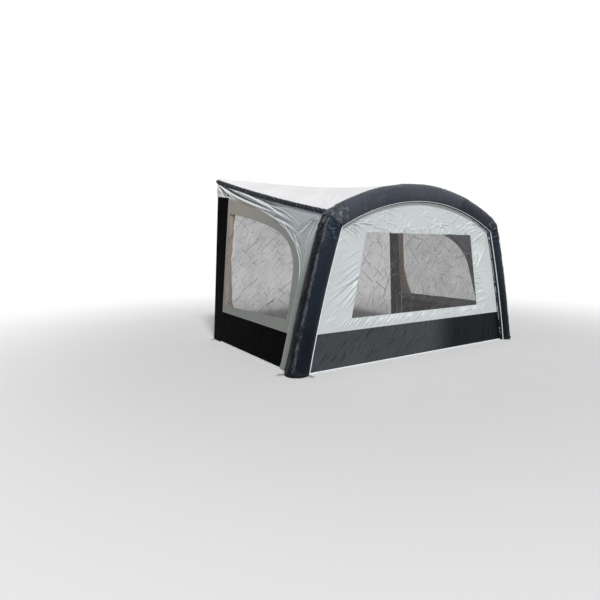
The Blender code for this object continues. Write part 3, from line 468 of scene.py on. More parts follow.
films = {          # nets of creases: turn, spread, cells to the metre, width, length and weight
    # the tints and alphas are partly painted shade, for the shaded things seen through the clear film; the far right
    # film is lighter
    "frontFilm": {"colour": (0.085, 0.085, 0.088), "alpha": (0.36, 0.36), "dark": 0.36, "nets": [
        (44, 30, 3.6, 0.0058, 0.26, 1.0), (-38, 30, 5.0, 0.0054, 0.20, 0.95), (50, 24, 7.0, 0.0050, 0.14, 0.9),
        (10, 90, 9.0, 0.0046, 0.09, 0.8), (75, 60, 12.0, 0.0042, 0.07, 0.6)]},
    "left_film": {"colour": (0.11, 0.11, 0.11), "alpha": (0.24, 0.38), "dark": 0.36, "nets": [
        (36, 9, 3.4, 0.0056, 0.30, 1.0), (34, 14, 5.2, 0.0052, 0.20, 1.0), (38, 14, 7.5, 0.0048, 0.14, 0.9),
        (-36, 20, 6.0, 0.0050, 0.16, 0.8), (40, 40, 9.5, 0.0044, 0.09, 0.7)]},
    "right_film": {"colour": (0.20, 0.20, 0.20), "alpha": (0.12, 0.12), "dark": 0.10, "nets": [
        (36, 10, 3.2, 0.0052, 0.30, 0.8), (-36, 20, 5.5, 0.0048, 0.16, 0.6)]},
}
trims = {          # name, colour, second tone, roughness, pitch of the ribs, and perhaps a pattern
    "piping": ("pipingTrim", (0.88, 0.93, 0.96), (0.83, 0.89, 0.93), 0.45, 0.004),
    "zip": ("zipTrim", (0.92, 0.93, 0.93), (0.74, 0.75, 0.76), 0.4, 0.003, doorZipPattern),
    "darkZip": ("darkZipTrim", (0.035, 0.04, 0.05), (0.012, 0.014, 0.018), 0.5, 0.003, frontZipPattern),
    "loop": ("loopWebbing", (0.016, 0.016, 0.018), (0.008, 0.008, 0.009), 0.65, 0.0025, loopPattern),
    "strap": ("paleWebbing", (0.78, 0.78, 0.77), (0.6, 0.6, 0.6), 0.6, 0.0025),
}
hards = {          # name, colour, roughness, metal and the strength of the grain
    "greyPlastic": ("greyPlastic", (0.12, 0.12, 0.13), 0.4, 0.0, 0.3),
    "whitePlastic": ("whitePlastic", (0.8, 0.8, 0.79), 0.4, 0.0, 0.2),
    "zinc": ("castZinc", (0.45, 0.46, 0.48), 0.35, 0.9, 0.2),
}
finishes = {key: clothFinish(key + "Cloth", look) for key, look in looks.items()}
finishes.update({key: clothFinish(key + "Sewn", looks[base], pattern) for key, (base, pattern) in patterns.items()})
finishes.update({key: filmFinish(key, look) for key, look in films.items()})
finishes["airFilm"] = airFinish("airFilm")
finishes.update({key: trimFinish(*values) for key, values in trims.items()})
finishes.update({key: hardFinish(*values) for key, values in hards.items()})
print("finishes:", len(finishes))


# cloth helpers
def smooth(t):
    t = np.clip(t, 0, 1)
    return t * t * (3 - 2 * t)


def stacked(*parts):
    # arrays and numbers side by side, one row for each point
    return np.stack(np.broadcast_arrays(*parts), axis=1)


def valueNoise(a, b, size, seed):
    # smooth noise from 0 to 1 on a square lattice
    cells = 67
    table = np.random.default_rng(seed).random((cells, cells))
    ga, gb = a / size + 400.5, b / size + 400.5
    ia, ib = np.floor(ga).astype(int), np.floor(gb).astype(int)
    fa, fb = smooth(ga - ia), smooth(gb - ib)
    corner = [table[(ia + i) % cells, (ib + j) % cells] for i in (0, 1) for j in (0, 1)]
    low = corner[0] * (1 - fb) + corner[1] * fb
    high = corner[2] * (1 - fb) + corner[3] * fb
    return low * (1 - fa) + high * fa


def crumple(a, b, size, seed, turn=0.0, stretch=1.0):
    # sharp ridges where folded cloth keeps its creases, from 0 to 1
    c, s = math.cos(turn), math.sin(turn)
    a, b = a * c + b * s, (b * c - a * s) / stretch
    bend = 0.6 * size * (valueNoise(a, b, size * 1.7, seed + 7) - 0.5)
    big = 1 - np.abs(2 * valueNoise(a + bend, b - bend, size, seed) - 1)
    small = 1 - np.abs(2 * valueNoise(a - bend, b + bend, size * 0.47, seed + 3) - 1)
    return big ** 3 * 0.68 + small ** 3 * 0.32


def foldLift(a, b, lines):
    # each line: start, end, half width and height; it fades in fast and dies out slowly, with a trough beside it
    total = np.zeros_like(a)
    for i, (a0, b0, a1, b1, width, height) in enumerate(lines):
        length = math.hypot(a1 - a0, b1 - b0)
        da, db = (a1 - a0) / length, (b1 - b0) / length
        share = ((a - a0) * da + (b - b0) * db) / length
        bow = 0.05 * length * math.sin(i * 2.4)
        across = (b - b0) * da - (a - a0) * db - bow * 4 * share * (1 - share)
        spread = width * (0.65 + 0.6 * np.clip(share, 0, 1))
        fade = smooth(share / min(0.15, 0.05 / length)) * smooth((1 - share) / 0.6)
        ridge = np.exp(-(across / spread) ** 2) - 0.55 * np.exp(-((across - 1.7 * spread) / spread) ** 2)
        total += height * fade * ridge
    return total


def clothLift(lines, depth, size, seed, level=0.35, turn=0.0, stretch=1.0):
    # a lift of folds with crumpled cloth between them
    def lift(a, b, v):
        return foldLift(a, b, lines) + depth * (crumple(a, b, size, seed, turn, stretch) - level)
    return lift


def scatterFolds(seed, count, low, high, turn, spread, length, width, height):
    # random folds in a box, lying roughly one way; turn and spread are in degrees
    rng = np.random.default_rng(seed)
    lines = []
    for _ in range(count):
        a, b = rng.uniform(low[0], high[0]), rng.uniform(low[1], high[1])
        angle = math.radians(turn + rng.uniform(-spread, spread))
        reach = length * rng.uniform(0.6, 1.3) / 2
        da, db = math.cos(angle) * reach, math.sin(angle) * reach
        size = rng.uniform(0.7, 1.3)
        lines.append((a - da, b - db, a + da, b + db, width * size, height * size * rng.choice((1, 1, -0.6))))
    return lines


def fanFolds(seed, centre, count, start, end, length, width, height):
    # folds that spread from a corner; angles in degrees
    rng = np.random.default_rng(seed)
    lines = []
    for k in range(count):
        angle = math.radians(start + (end - start) * (k + 0.5) / count + rng.uniform(-2, 2))
        reach = length * rng.uniform(0.65, 1.15)
        begin = 0.03 * rng.uniform(0.5, 1.5)
        c, s = math.cos(angle), math.sin(angle)
        lines.append((centre[0] + c * begin, centre[1] + s * begin, centre[0] + c * reach, centre[1] + s * reach,
                      width * rng.uniform(0.75, 1.3), height * rng.uniform(0.6, 1.2)))
    return lines


def millimetres(lines):
    # fold tables are written in millimetres
    return [tuple(value / 1000 for value in line) for line in lines]


def activate(piece):
    bpy.ops.object.select_all(action="DESELECT")
    piece.select_set(True)
    bpy.context.view_layer.objects.active = piece


def mergeDoubles(piece):
    activate(piece)
    bpy.ops.object.mode_set(mode="EDIT")
    bpy.ops.mesh.select_all(action="SELECT")
    bpy.ops.mesh.remove_doubles(threshold=0.00002)
    bpy.ops.object.mode_set(mode="OBJECT")


def fetch(items, key, width, kind=float):
    values = np.empty(len(items) * width, dtype=kind)
    items.foreach_get(key, values)
    return values.reshape(-1, width)


def newSheet(name, columns, rows, place, wall=0.0016, closed=False, sharp=40):
    # a grid laid out by place(u, v), which gives points, outward directions, cut, seam and perhaps fold values
    bpy.ops.object.select_all(action="DESELECT")
    bpy.ops.mesh.primitive_grid_add(x_subdivisions=columns, y_subdivisions=rows, size=1, calc_uvs=True)
    piece = bpy.context.active_object
    piece.name = piece.data.name = name
    mesh = piece.data
    flat = fetch(mesh.vertices, "co", 3) + 0.5
    points, outward, cut, seam, *fold = place(flat[:, 0], flat[:, 1])
    mesh.vertices.foreach_set("co", np.ascontiguousarray(points, dtype=np.float32).ravel())
    corner = fetch(mesh.loops, "vertex_index", 1, np.int32)[:, 0]
    mesh.uv_layers[0].name = "cloth"
    mesh.uv_layers.new(name="seam")
    for layer, values in (("cloth", cut), ("seam", seam)):
        mesh.uv_layers[layer].uv.foreach_set("vector", np.ascontiguousarray(values[corner], dtype=np.float32).ravel())
    for values in fold:
        mesh.attributes.new("fold", "FLOAT", "POINT").data.foreach_set("value", values.astype(np.float32))
    mesh.update()
    if (fetch(mesh.vertex_normals, "vector", 3) * outward).sum() < 0:
        mesh.flip_normals()
    if closed:
        mergeDoubles(piece)
    activate(piece)
    if wall:
        thicken = piece.modifiers.new("wall", "SOLIDIFY")
        thicken.thickness, thicken.offset = wall, -1
        bpy.ops.object.modifier_apply(modifier="wall")
    bpy.ops.object.shade_smooth_by_angle(angle=math.radians(sharp))
    return piece


def capped(v, rows):
    # share along a closed tube, and 0 at its two poles
    k = np.rint(v * rows)
    return np.clip((k - 1) / (rows - 2), 0, 1), np.where((k < 0.5) | (k > rows - 0.5), 0.0, 1.0)


def newTube(name, columns, rows, girth, lay):
    # a tube closed at both ends; lay(angle, share, full) gives points, outward directions and the way along
    def place(u, v):
        angle = 2 * math.pi * u
        points, outward, along = lay(angle, *capped(v, rows))
        return points, outward, stacked(angle * girth, along), stacked(along, 1)

    return newSheet(name, columns, rows, place, 0, True)


def roundEnds(share, length, reach, least):
    # a tube's radius dies down to its least share over the reach at each end
    return np.sqrt(np.clip(np.minimum(share, 1 - share) * length / reach, least, 1))


def finishPiece(piece, finish, slot, body, *nodes):
    piece.data.materials.clear()
    piece.data.materials.append(finishes[finish])
    if nodes:
        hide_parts(*nodes)
    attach(piece, body)
    return piece


def runOf(points):
    return np.concatenate([[0], np.cumsum(np.hypot(*np.diff(points, axis=0).T))])


def evenly(points, count):
    # count + 1 points at equal steps along a line of points
    points = np.asarray(points, dtype=float)
    run = runOf(points)
    steps = np.linspace(0, run[-1], count + 1)
    return np.stack([np.interp(steps, run, points[:, k]) for k in (0, 1)], axis=1)


def joined(*parts):
    return np.concatenate([parts[0]] + [part[1:] for part in parts[1:]])


def bezier(points, count):
    t = np.linspace(0, 1, count + 1)[:, None]
    p = [np.array(q) for q in points]
    return (1 - t) ** 3 * p[0] + 3 * (1 - t) ** 2 * t * p[1] + 3 * (1 - t) * t * t * p[2] + t ** 3 * p[3]


def offsetLine(points, distance):
    # moved to the left of its direction
    step = np.gradient(points, axis=0)
    step /= np.hypot(*step.T)[:, None]
    return points + np.stack([-step[:, 1], step[:, 0]], axis=1) * distance


def roundCorners(loop, corners, radius):
    # the corners of a closed line of points, drawn in to short curves
    made = loop.copy()
    count = len(loop) - 1
    for corner in corners:
        tip = loop[corner]
        reach = min(int(radius / max(np.hypot(*(loop[(corner + k) % count] - tip)), 1e-6)) for k in (1, -1)) + 4
        near = {k: loop[(corner + k) % count] for k in range(-4 * reach, 4 * reach + 1)}
        inside = [k for k, p in near.items() if np.hypot(*(p - tip)) <= radius]
        first, last = near[min(inside)], near[max(inside)]
        for k in inside:
            far = np.hypot(*(near[k] - tip)) * (1 if k > 0 else -1)
            t = (far / radius + 1) / 2
            made[(corner + k) % count] = (1 - t) ** 2 * first + 2 * t * (1 - t) * tip + t * t * last
    made[count] = made[0]
    return made


def newStrip(name, outer, inner, rows, toPoint, lift, wall=0.0016, ring=False, fade=0.025, shadedFolds=()):
    # a sheet between two lines of matching points; lift(a, b, v) raises it, and dies out at its edges
    outer, inner = np.asarray(outer, dtype=float), np.asarray(inner, dtype=float)
    count = len(outer) - 1
    run = runOf((outer + inner) / 2)
    width = np.hypot(*(outer - inner).T)

    def place(u, v):
        k = np.rint(u * count).astype(int)
        spot = outer[k] * (1 - v)[:, None] + inner[k] * v[:, None]
        a, b = spot.T
        edge = np.minimum(v, 1 - v) * width[k]
        calm = smooth(edge / fade) if fade else 1.0
        if fade and not ring:
            calm = calm * smooth(np.minimum(run[k], run[-1] - run[k]) / fade)
        made = (*toPoint(a, b, lift(a, b, v) * calm), spot, stacked(run[k], edge))
        # the shaded folds give the fold attribute, from which highlights and shade are painted
        return (*made, foldLift(a, b, shadedFolds) * 50) if shadedFolds else made

    return newSheet(name, count, rows, place, wall, ring)


# the arch: right foot, right shoulder, crown, left shoulder, left foot
arch = {"y": -1.0976271, "radius": 0.13, "foot": 0.05, "levelled": 0.16,
        "legCentre": (-11.6022615, -2.7707992), "legRadius": 13.7777503,
        "bendCentre": (1.3084641, 1.5913980), "bendRadius": 0.15,
        "crownCentre": (0.0, -0.7915549), "crownRadius": 2.8685548,
        "footTurn": 0.2061938, "bendStart": 0.3258315, "bendEnd": 1.0686493}
legRun = arch["legRadius"] * (arch["bendStart"] - arch["footTurn"])
bendRun = arch["bendRadius"] * (arch["bendEnd"] - arch["bendStart"])
crownRun = arch["crownRadius"] * (math.pi / 2 - arch["bendEnd"])
wholeRun = 2 * (legRun + bendRun + crownRun)
seamRun = legRun + bendRun / 2          # from the foot to the seam on the shoulder


def archAt(s):
    # middle line of the tube: x, z, outward normal x, z and side
    far = s > wholeRun / 2
    side = np.where(far, -1.0, 1.0)
    t = np.where(far, wholeRun - s, s)
    onLeg, onBend = t < legRun, t < legRun + bendRun

    def pick(leg, bend, crown):
        return np.where(onLeg, leg, np.where(onBend, bend, crown))

    turn = pick(arch["footTurn"] + t / arch["legRadius"], arch["bendStart"] + (t - legRun) / arch["bendRadius"],
                arch["bendEnd"] + (t - legRun - bendRun) / arch["crownRadius"])
    radius = pick(arch["legRadius"], arch["bendRadius"], arch["crownRadius"])
    cx, cz = (pick(arch["legCentre"][k], arch["bendCentre"][k], arch["crownCentre"][k]) for k in (0, 1))
    return side * (cx + radius * np.cos(turn)), cz + radius * np.sin(turn), side * np.cos(turn), np.sin(turn), side


def onArch(s, angle, radius):
    # angle 0 faces outward, a quarter turn faces the rear
    x, z, nx, nz, side = archAt(s)
    c, turned = np.cos(angle), np.sin(angle)
    out = c * radius
    up = np.stack([-nz * side, np.abs(nx)])          # along the leg, upwards
    foot = np.minimum(s, wholeRun - s)
    level = 1 - smooth(foot / arch["levelled"])          # the foot is cut off level
    slide = (arch["foot"] - z - nz * out) / up[1] * level * (foot < arch["levelled"])
    slide = slide + np.where(level > 0, (z - arch["foot"]), 0) / up[1] * level
    points = stacked(x + nx * out + up[0] * slide, arch["y"] + turned * radius, z + nz * out + up[1] * slide)
    return points, stacked(nx * c, turned, nz * c)


def tubeCrumple(s, angle, radius, size, seed, stretch=1.0):
    # ridges on a tube that join up round it
    x, y = np.cos(angle) * radius, np.sin(angle) * radius
    first = valueNoise(s / stretch + x * 0.6, y, size, seed)
    second = valueNoise(s / stretch - y * 0.6, x, size, seed + 1)
    third = valueNoise(s * 1.3 + x, y - x, size * 0.5, seed + 2)
    blend = (first + second) / 2
    return (1 - np.abs(4 * blend - 2)).clip(0, 1) ** 2 * 0.7 + (1 - np.abs(2 * third - 1)) ** 3 * 0.3


sleeve = {"columns": 88, "legRows": 230, "crownRows": 400, "crease": 0.0040, "longCrease": 0.0050,
          "shoulderCrease": 0.015, "shoulder": 0.16, "fan": 0.011, "pleats": 42, "small": 0.005, "smallest": 0.0012,
          "tone": 0.55, "tonedFrom": 1.5, "footCrease": 0.005, "seamTurn": 0.785, "seamWidth": 0.006,
          "seamLift": 0.0016, "seamSunk": 0.004}


def addSleeve(name, node, start, end, rows, seed, finish, slot):
    def place(u, v):
        angle = 2 * math.pi * u - math.pi
        s = start + (end - start) * v
        run = np.minimum(s, wholeRun - s)
        shoulder = np.abs(run - seamRun)
        near = np.exp(-(shoulder / sleeve["shoulder"]) ** 2)
        low = np.exp(-(run / 0.10) ** 2)
        size = sleeve["crease"] + sleeve["shoulderCrease"] * near + sleeve["footCrease"] * low
        broad = tubeCrumple(s, angle, arch["radius"], 0.055, seed) - 0.35
        long = tubeCrumple(s, angle, arch["radius"], 0.06, seed + 9, 4.0) - 0.4
        small = tubeCrumple(s, angle, arch["radius"], 0.036, seed + 20) - 0.4
        inner = (1 - np.cos(angle)) / 2          # folds fan out from the inside of the bend
        fan = (run - seamRun) / (0.30 + 0.70 * (1 - inner))
        wobble = 2.2 * valueNoise(angle * 0.13, s, 0.06, seed + 12)
        pleat = np.exp(-(fan / 0.30) ** 2) * inner ** 0.5 * (np.abs(np.sin(fan * sleeve["pleats"] + wobble)) - 0.6)
        lift = size * broad + sleeve["longCrease"] * long + (sleeve["small"] * near + sleeve["smallest"]) * small
        lift += sleeve["fan"] * pleat
        # fold values for painted highlights on ridges and painted shade in troughs
        fold = near * (0.8 * broad + 1.1 * small) + 0.9 * pleat
        fold = fold + sleeve["tone"] * (broad + small) * (run > sleeve["tonedFrom"])
        seam = np.exp(-(((angle + sleeve["seamTurn"]) * arch["radius"]) / sleeve["seamWidth"]) ** 2)
        lift += sleeve["seamLift"] * seam * (0.6 + 0.8 * valueNoise(s, 0, 0.05, seed + 4))
        lift -= sleeve["seamSunk"] * np.exp(-(shoulder / sleeve["seamWidth"]) ** 2)
        around = angle * arch["radius"]
        edge = np.minimum(s - start, end - s)
        return *onArch(s, angle, arch["radius"] + lift), stacked(around, s), stacked(around, edge), fold

    piece = newSheet(name, sleeve["columns"], rows, place, closed=True)
    finishPiece(piece, finish, slot, "awning", node)


addSleeve("right_leg_cloth", "right_leg_sleeve", 0.0, seamRun, sleeve["legRows"], 11, "leg", "navy_cloth")
addSleeve("crown_cloth", "arch_top_sleeve", seamRun, wholeRun - seamRun, sleeve["crownRows"], 23, "crown",
          "charcoal_cloth")
addSleeve("left_leg_cloth", "left_leg_sleeve", wholeRun - seamRun, wholeRun, sleeve["legRows"], 37, "leg",
          "navy_cloth")

airTube = {"radius": 0.117, "rows": 220, "columns": 32, "short": 0.004, "round": 0.02}


def addArchAirTube():
    def lay(angle, share, full):
        s = airTube["short"] + (wholeRun - 2 * airTube["short"]) * share
        radius = airTube["radius"] * full * roundEnds(share, wholeRun, airTube["round"], 0.05)
        return *onArch(s, angle, radius), s

    piece = newTube("arch_air_skin", airTube["columns"], airTube["rows"], airTube["radius"], lay)
    finishPiece(piece, "airFilm", "air_film", "awning", "arch_air_tube")


addArchAirTube()

boot = {"columns": 64, "rows": 22, "bulge": 0.010, "sole": 0.006, "crease": 0.004, "dip": 0.013,
        "dipTurn": 0.75 * math.pi, "dipWidth": 0.13, "play": 0.0004, "seam": 0.045}


def addBoot(side, sign, seed):
    end = 0.0 if sign > 0 else wholeRun
    x, z, nx, nz, _ = archAt(np.array([end]))
    lean = nz[0] / abs(nx[0])

    def place(u, v):
        angle = 2 * math.pi * u - math.pi
        share, full = capped(v, boot["rows"])
        height = arch["foot"] * (1 - share)
        belly = boot["bulge"] * np.sin(math.pi * np.clip(share * 1.05, 0, 1)) ** 0.7
        belly = belly - boot["dip"] * np.exp(-((angle + boot["dipTurn"]) / boot["dipWidth"]) ** 2)   # for the piping
        turnIn = boot["sole"] * smooth((share - 0.75) / 0.25)
        crease = boot["crease"] * tubeCrumple(height * 1.6 + 3, angle, arch["radius"], 0.05, seed)
        radius = (arch["radius"] + belly + crease - turnIn - boot["play"]) * full
        middle = sign * (abs(x[0]) + (arch["foot"] - height) * lean * 0.9)
        across = sign * np.cos(angle)
        points = stacked(middle + across * radius / abs(nx[0]), arch["y"] + np.sin(angle) * radius, height)
        around = angle * arch["radius"]
        return (points, stacked(across, np.sin(angle), 0), stacked(around, height),
                stacked(around, np.abs(height - boot["seam"])))

    piece = newSheet(side + "_boot", boot["columns"], boot["rows"], place, 0, True, 50)
    finishPiece(piece, "boot", "black_cloth", "awning", side + "_foot_boot")


for side, sign in sides.items():
    addBoot(side, sign, 51 + sign)

piping = {"radius": 0.0056, "crown": 0.0030, "seat": 0.0030, "turn": math.radians(226), "sides": 10, "rows": 520,
          "wave": 0.0012, "past": 0.044}
frontZip = {"turn": math.radians(213.75), "tape": 0.010, "coil": 0.0028, "lift": 0.0016, "columns": 10, "rows": 520,
            "foot": 0.05, "wall": 0.001}


def addPiping():
    def lay(angle, share, full):
        s = (wholeRun + 2 * piping["past"]) * share - piping["past"]
        wander = piping["wave"] * (valueNoise(s, 0, 0.08, 61) - 0.5)
        over = smooth((np.minimum(s, wholeRun - s) - seamRun + 0.1) / 0.2)
        size = piping["radius"] + (piping["crown"] - piping["radius"]) * over
        seat = arch["radius"] + piping["seat"] + size
        turn = piping["turn"] + wander / seat
        points, _ = onArch(s, turn + size * np.sin(angle) * full / seat, seat + size * np.cos(angle) * full)
        return points, points - onArch(s, turn, seat)[0], s

    piece = newTube("arch_piping_cord", piping["sides"], piping["rows"], piping["radius"], lay)
    finishPiece(piece, "piping", "white_trim", "awning", "arch_piping")


def addFrontZip():
    def place(u, v):
        s = frontZip["foot"] + (wholeRun - 2 * frontZip["foot"]) * v
        off = (u - 0.5) * 2 * frontZip["tape"]
        rise = frontZip["coil"] * np.exp(-(off / frontZip["coil"]) ** 2) + frontZip["lift"]
        laid = onArch(s, frontZip["turn"] + off / arch["radius"], arch["radius"] + rise)
        return *laid, stacked(off, s), stacked(s, 1)

    piece = newSheet("front_zip", frontZip["columns"], frontZip["rows"], place, frontZip["wall"])
    finishPiece(piece, "darkZip", "navy_cloth", "awning")


addPiping()
addFrontZip()
print("arch: sleeves, air tube, boots, piping and front zip")


# side walls: places are given as reach from the rear plane, and height
wall = {"railY": 1.3205, "railHeight": 2.455, "rearTop": 1.779, "rearFoot": 1.912, "frontFoot": 1.924,
        "frontLean": 0.272, "depth": 2.2878271, "groundGap": 0.004, "stripWidth": 0.29, "stripTop": 2.19,
        "doorReach": 2.0900271, "hinge": 0.2906, "doorTop": 2.136, "doorStraight": 1.0, "zipWidth": 0.012,
        "doorGap": 0.0115, "legStrip": 0.094, "legStripTaper": 0.076, "shoulder": 1.694}
brace = {"radius": 0.04, "seen": 0.031, "air": 0.0265, "airEnds": (0.012, 2.20), "sag": 0.032, "start": 0.0073,
         "play": 0.0003, "railPlay": 0.0043, "cornerReach": 2.3682635, "cornerHeight": 1.8368213, "columns": 36,
         "rows": 260, "wall": 0.0015, "wrinkle": 0.0020, "lump": 0.003, "pitch": 0.068}


def wallX(reach, height):
    rear = wall["rearFoot"] - (wall["rearFoot"] - wall["rearTop"]) * height / wall["railHeight"]
    front = wall["frontFoot"] - wall["frontLean"] * height
    return rear + (front - rear) * reach / wall["depth"]


def braceHeight(reach):
    share = (reach - brace["start"]) / (brace["cornerReach"] - brace["start"])
    rear = wall["railHeight"] - brace["railPlay"] - brace["radius"]
    front = brace["cornerHeight"] - brace["play"] - brace["radius"]
    return rear + (front - rear) * share - 4 * brace["sag"] * share * (1 - share)


def wallTop(reach):
    return braceHeight(reach) - brace["seen"] - brace["play"]


def flangeReach(height):
    share = np.minimum(height, wall["shoulder"]) / wall["shoulder"]
    return wall["depth"] - wall["legStrip"] + wall["legStripTaper"] * share


def onWall(sign, inset=0.0):
    def toPoint(reach, height, lift):
        points = stacked(sign * (wallX(reach, height) - inset + lift), wall["railY"] - reach, height)
        return points, stacked(sign, 0, wall["frontLean"] * reach / wall["depth"])
    return toPoint


doorSteps = 150
doorEnds = ((wall["doorReach"], wall["doorStraight"]), (wall["hinge"], wall["doorTop"]))
doorCurve = bezier([doorEnds[0], (wall["doorReach"], wall["doorStraight"] + 0.55),
                    (wall["hinge"] + 0.95, wall["doorTop"] - 0.95 * 0.215), doorEnds[1]], doorSteps)
window = {"sill": 0.56, "head": 1.92, "rear": 0.335, "front": 2.024, "corner": (1.96, 1.06),
          "pulls": ((1.89, 1.62), (1.335, 1.705))}
windowCurve = bezier([window["corner"], *window["pulls"], (window["rear"], window["head"])], doorSteps)


def bandTop(reach):
    return 0.459 + (0.411 - 0.459) * (reach - wall["hinge"]) / (wall["doorReach"] - wall["hinge"])


wallFolds = {          # each fold: start, end, half width and height
    "pleats": millimetres([
        (0, 2390, 50, 2190, 10, 20), (0, 2390, 130, 2180, 10, 22), (10, 2390, 230, 2160, 11, 24),
        (10, 2390, 360, 2120, 11, 26), (20, 2385, 540, 2080, 12, 28), (20, 2380, 780, 2040, 12, 28),
        (30, 2380, 1050, 1980, 13, 28), (30, 2380, 1350, 1900, 14, 28), (40, 2375, 1650, 1780, 15, 28),
        (50, 2370, 1900, 1660, 15, 26), (100, 2355, 1950, 1760, 14, 18), (450, 2220, 1850, 1820, 12, 12),
        (950, 2060, 1750, 1860, 9, 10), (1250, 1970, 1550, 1900, 8, 8), (300, 2285, 1200, 2000, 9, 13),
        (500, 2225, 1450, 1930, 9, 14), (700, 2155, 1600, 1860, 9, 13), (950, 2085, 1800, 1780, 9, 13),
        (1150, 2020, 1920, 1680, 9, 12), (1400, 1920, 2000, 1600, 9, 11), (10, 2370, 100, 2190, 12, -12),
        (20, 2370, 200, 2170, 12, -13), (30, 2370, 320, 2140, 12, -14), (40, 2365, 470, 2100, 12, -18),
        (60, 2360, 660, 2060, 13, -22), (80, 2355, 920, 2010, 13, -20), (1100, 1910, 1850, 1640, 13, 16),
        (1350, 1810, 2000, 1500, 13, 15), (1600, 1720, 2080, 1360, 13, 13), (1800, 1600, 2120, 1200, 12, 11),
    ]),
    "front": millimetres([
        (2110, 1450, 2120, 1000, 9, 8), (2210, 1300, 2170, 700, 11, 5), (2130, 850, 2150, 350, 12, 5),
        (2140, 1500, 2130, 1220, 8, 7),
    ]),
    "crumple": 0.0028, "most": 0.026,
}


def addWall(side, sign, seed):
    front, gap = wall["doorReach"] + wall["doorGap"], wall["groundGap"]
    head = offsetLine(doorCurve, -wall["doorGap"])
    zipOuter = joined(evenly([(front, gap), (front, wall["doorStraight"])], 90), head,
                      evenly([head[-1], (0.0, wall["stripTop"] + 0.001)], 40))
    cornerReach = float(flangeReach(1.7))
    bendAt = 56
    top = np.linspace(cornerReach, 0, doorSteps - bendAt + 40 + 1)
    rises = joined(np.linspace(gap, 1.15, 91), np.linspace(1.15, float(wallTop(cornerReach)), bendAt + 1))
    edge = joined(stacked(flangeReach(rises), rises), stacked(top, wallTop(top) + 0.003))
    fan = fanFolds(seed + 3, (2.22, 1.80), 11, -160, -98, 0.60, 0.009, 0.013)
    lines = wallFolds["pleats"] + wallFolds["front"] + fan
    lines += scatterFolds(seed, 26, (0.5, 1.6), (2.2, 2.0), -32, 14, 0.16, 0.008, 0.003)
    lines += scatterFolds(seed + 1, 22, (2.1, 0.5), (2.2, 1.7), 96, 10, 0.22, 0.008, 0.0032)
    most = wallFolds["most"]          # where pleats meet they don't pile up

    def lift(reach, height, v):
        ground = crumple(reach, height, 0.09, seed, -0.5, 2.0) - 0.3
        return most * np.tanh(foldLift(reach, height, lines) / most) + wallFolds["crumple"] * ground

    piece = newStrip(side + "_wall_cloth", edge, zipOuter, 64, onWall(sign), lift, fade=0.012,
                     shadedFolds=wallFolds["pleats"] + fan)
    finishPiece(piece, "wallSilver", "silver_cloth", "awning", side + "_wall")


def addFlange(side, sign, seed):
    rises = np.linspace(wall["groundGap"], float(wallTop(wall["depth"])) + 0.02, 181)
    outer, inner = stacked(wall["depth"] + 0.004, rises), stacked(flangeReach(rises) - 0.001, rises)
    lift = clothLift([], 0.005, 0.06, seed, 0.4, 1.5, 2.5)
    piece = newStrip(side + "_leg_flange_cloth", outer, inner, 14, onWall(sign), lift, fade=0.01)
    finishPiece(piece, "black", "black_cloth", "awning", side + "_leg_flange")


draught = {"columns": 52, "rows": 190, "thick": 0.022, "wave": 0.006, "pad": 0.004, "square": (0.16, 0.5)}


def power(value, size):
    # squares an oval off
    return np.sign(value) * np.abs(value) ** size


def addDraughtStrip(side, sign, seed):
    width = wall["stripWidth"]

    def place(u, v):
        share, full = capped(v, draught["rows"])
        height = wall["stripTop"] * share
        turn = 2 * math.pi * u
        c, s = np.cos(turn), np.sin(turn)
        reach = width / 2 * (1 + power(c, draught["square"][0]) * full)
        inset = draught["thick"] / 2 * (1 + power(s, draught["square"][1]) * full)
        frontEdge = smooth((reach - width + 0.05) / 0.05)
        ripple = valueNoise(height, 0, 0.085, seed) - 0.5 + 0.6 * (valueNoise(height, 0, 0.04, seed + 2) - 0.5)
        reach = reach + draught["wave"] * ripple * frontEdge
        dent = draught["pad"] * (crumple(reach, height, 0.10, seed + 5, 0.0, 1.4) - 0.5)
        face = smooth((reach - 0.01) / 0.04) * smooth((width - 0.01 - reach) / 0.04)
        inset = inset - np.where(s < 0, 1, 0) * dent * face
        points, _ = onWall(sign)(reach, height, -inset)
        cut = stacked(reach + np.where(s < 0, 0, 0.35), height)
        return points, stacked(-sign * s, -c, 0), cut, stacked(height, width - reach)

    piece = newSheet(side + "_draught_pad", draught["columns"], draught["rows"], place, 0, True, 50)
    finishPiece(piece, "black", "foam_strip", "awning", side + "_draught_strip")


doorZip = {"edges": (-0.0008, -0.0124), "tape": 0.0114, "lift": 0.0006, "coil": 0.0018, "coilWidth": 0.0026,
           "wall": 0.0022, "stop": 0.025}


def addDoorZip(side, sign):
    foot = (wall["doorReach"], wall["groundGap"])
    line = joined(evenly([foot, doorEnds[0]], 160), doorCurve)
    tail = line[line[:, 0] > wall["stripWidth"] + doorZip["stop"]]

    def lift(reach, height, v):
        off = (v - 0.5) * doorZip["tape"]
        return doorZip["lift"] + doorZip["coil"] * np.exp(-(off / doorZip["coilWidth"]) ** 2)

    outer, inner = (offsetLine(tail, edge) for edge in doorZip["edges"])
    piece = newStrip(side + "_door_zip_tape", outer, inner, 12, onWall(sign), lift, doorZip["wall"], fade=0.0)
    finishPiece(piece, "zip", "white_trim", "awning", side + "_door_zip")


def onBrace(sign, reach, angle, radius):
    # angle 0 faces outward, a quarter turn faces up
    c, s = np.cos(angle), np.sin(angle)
    height = braceHeight(reach)
    points = stacked(sign * (wallX(reach, height) + c * radius), wall["railY"] - reach, height + s * radius)
    return points, stacked(sign * c, 0, s)


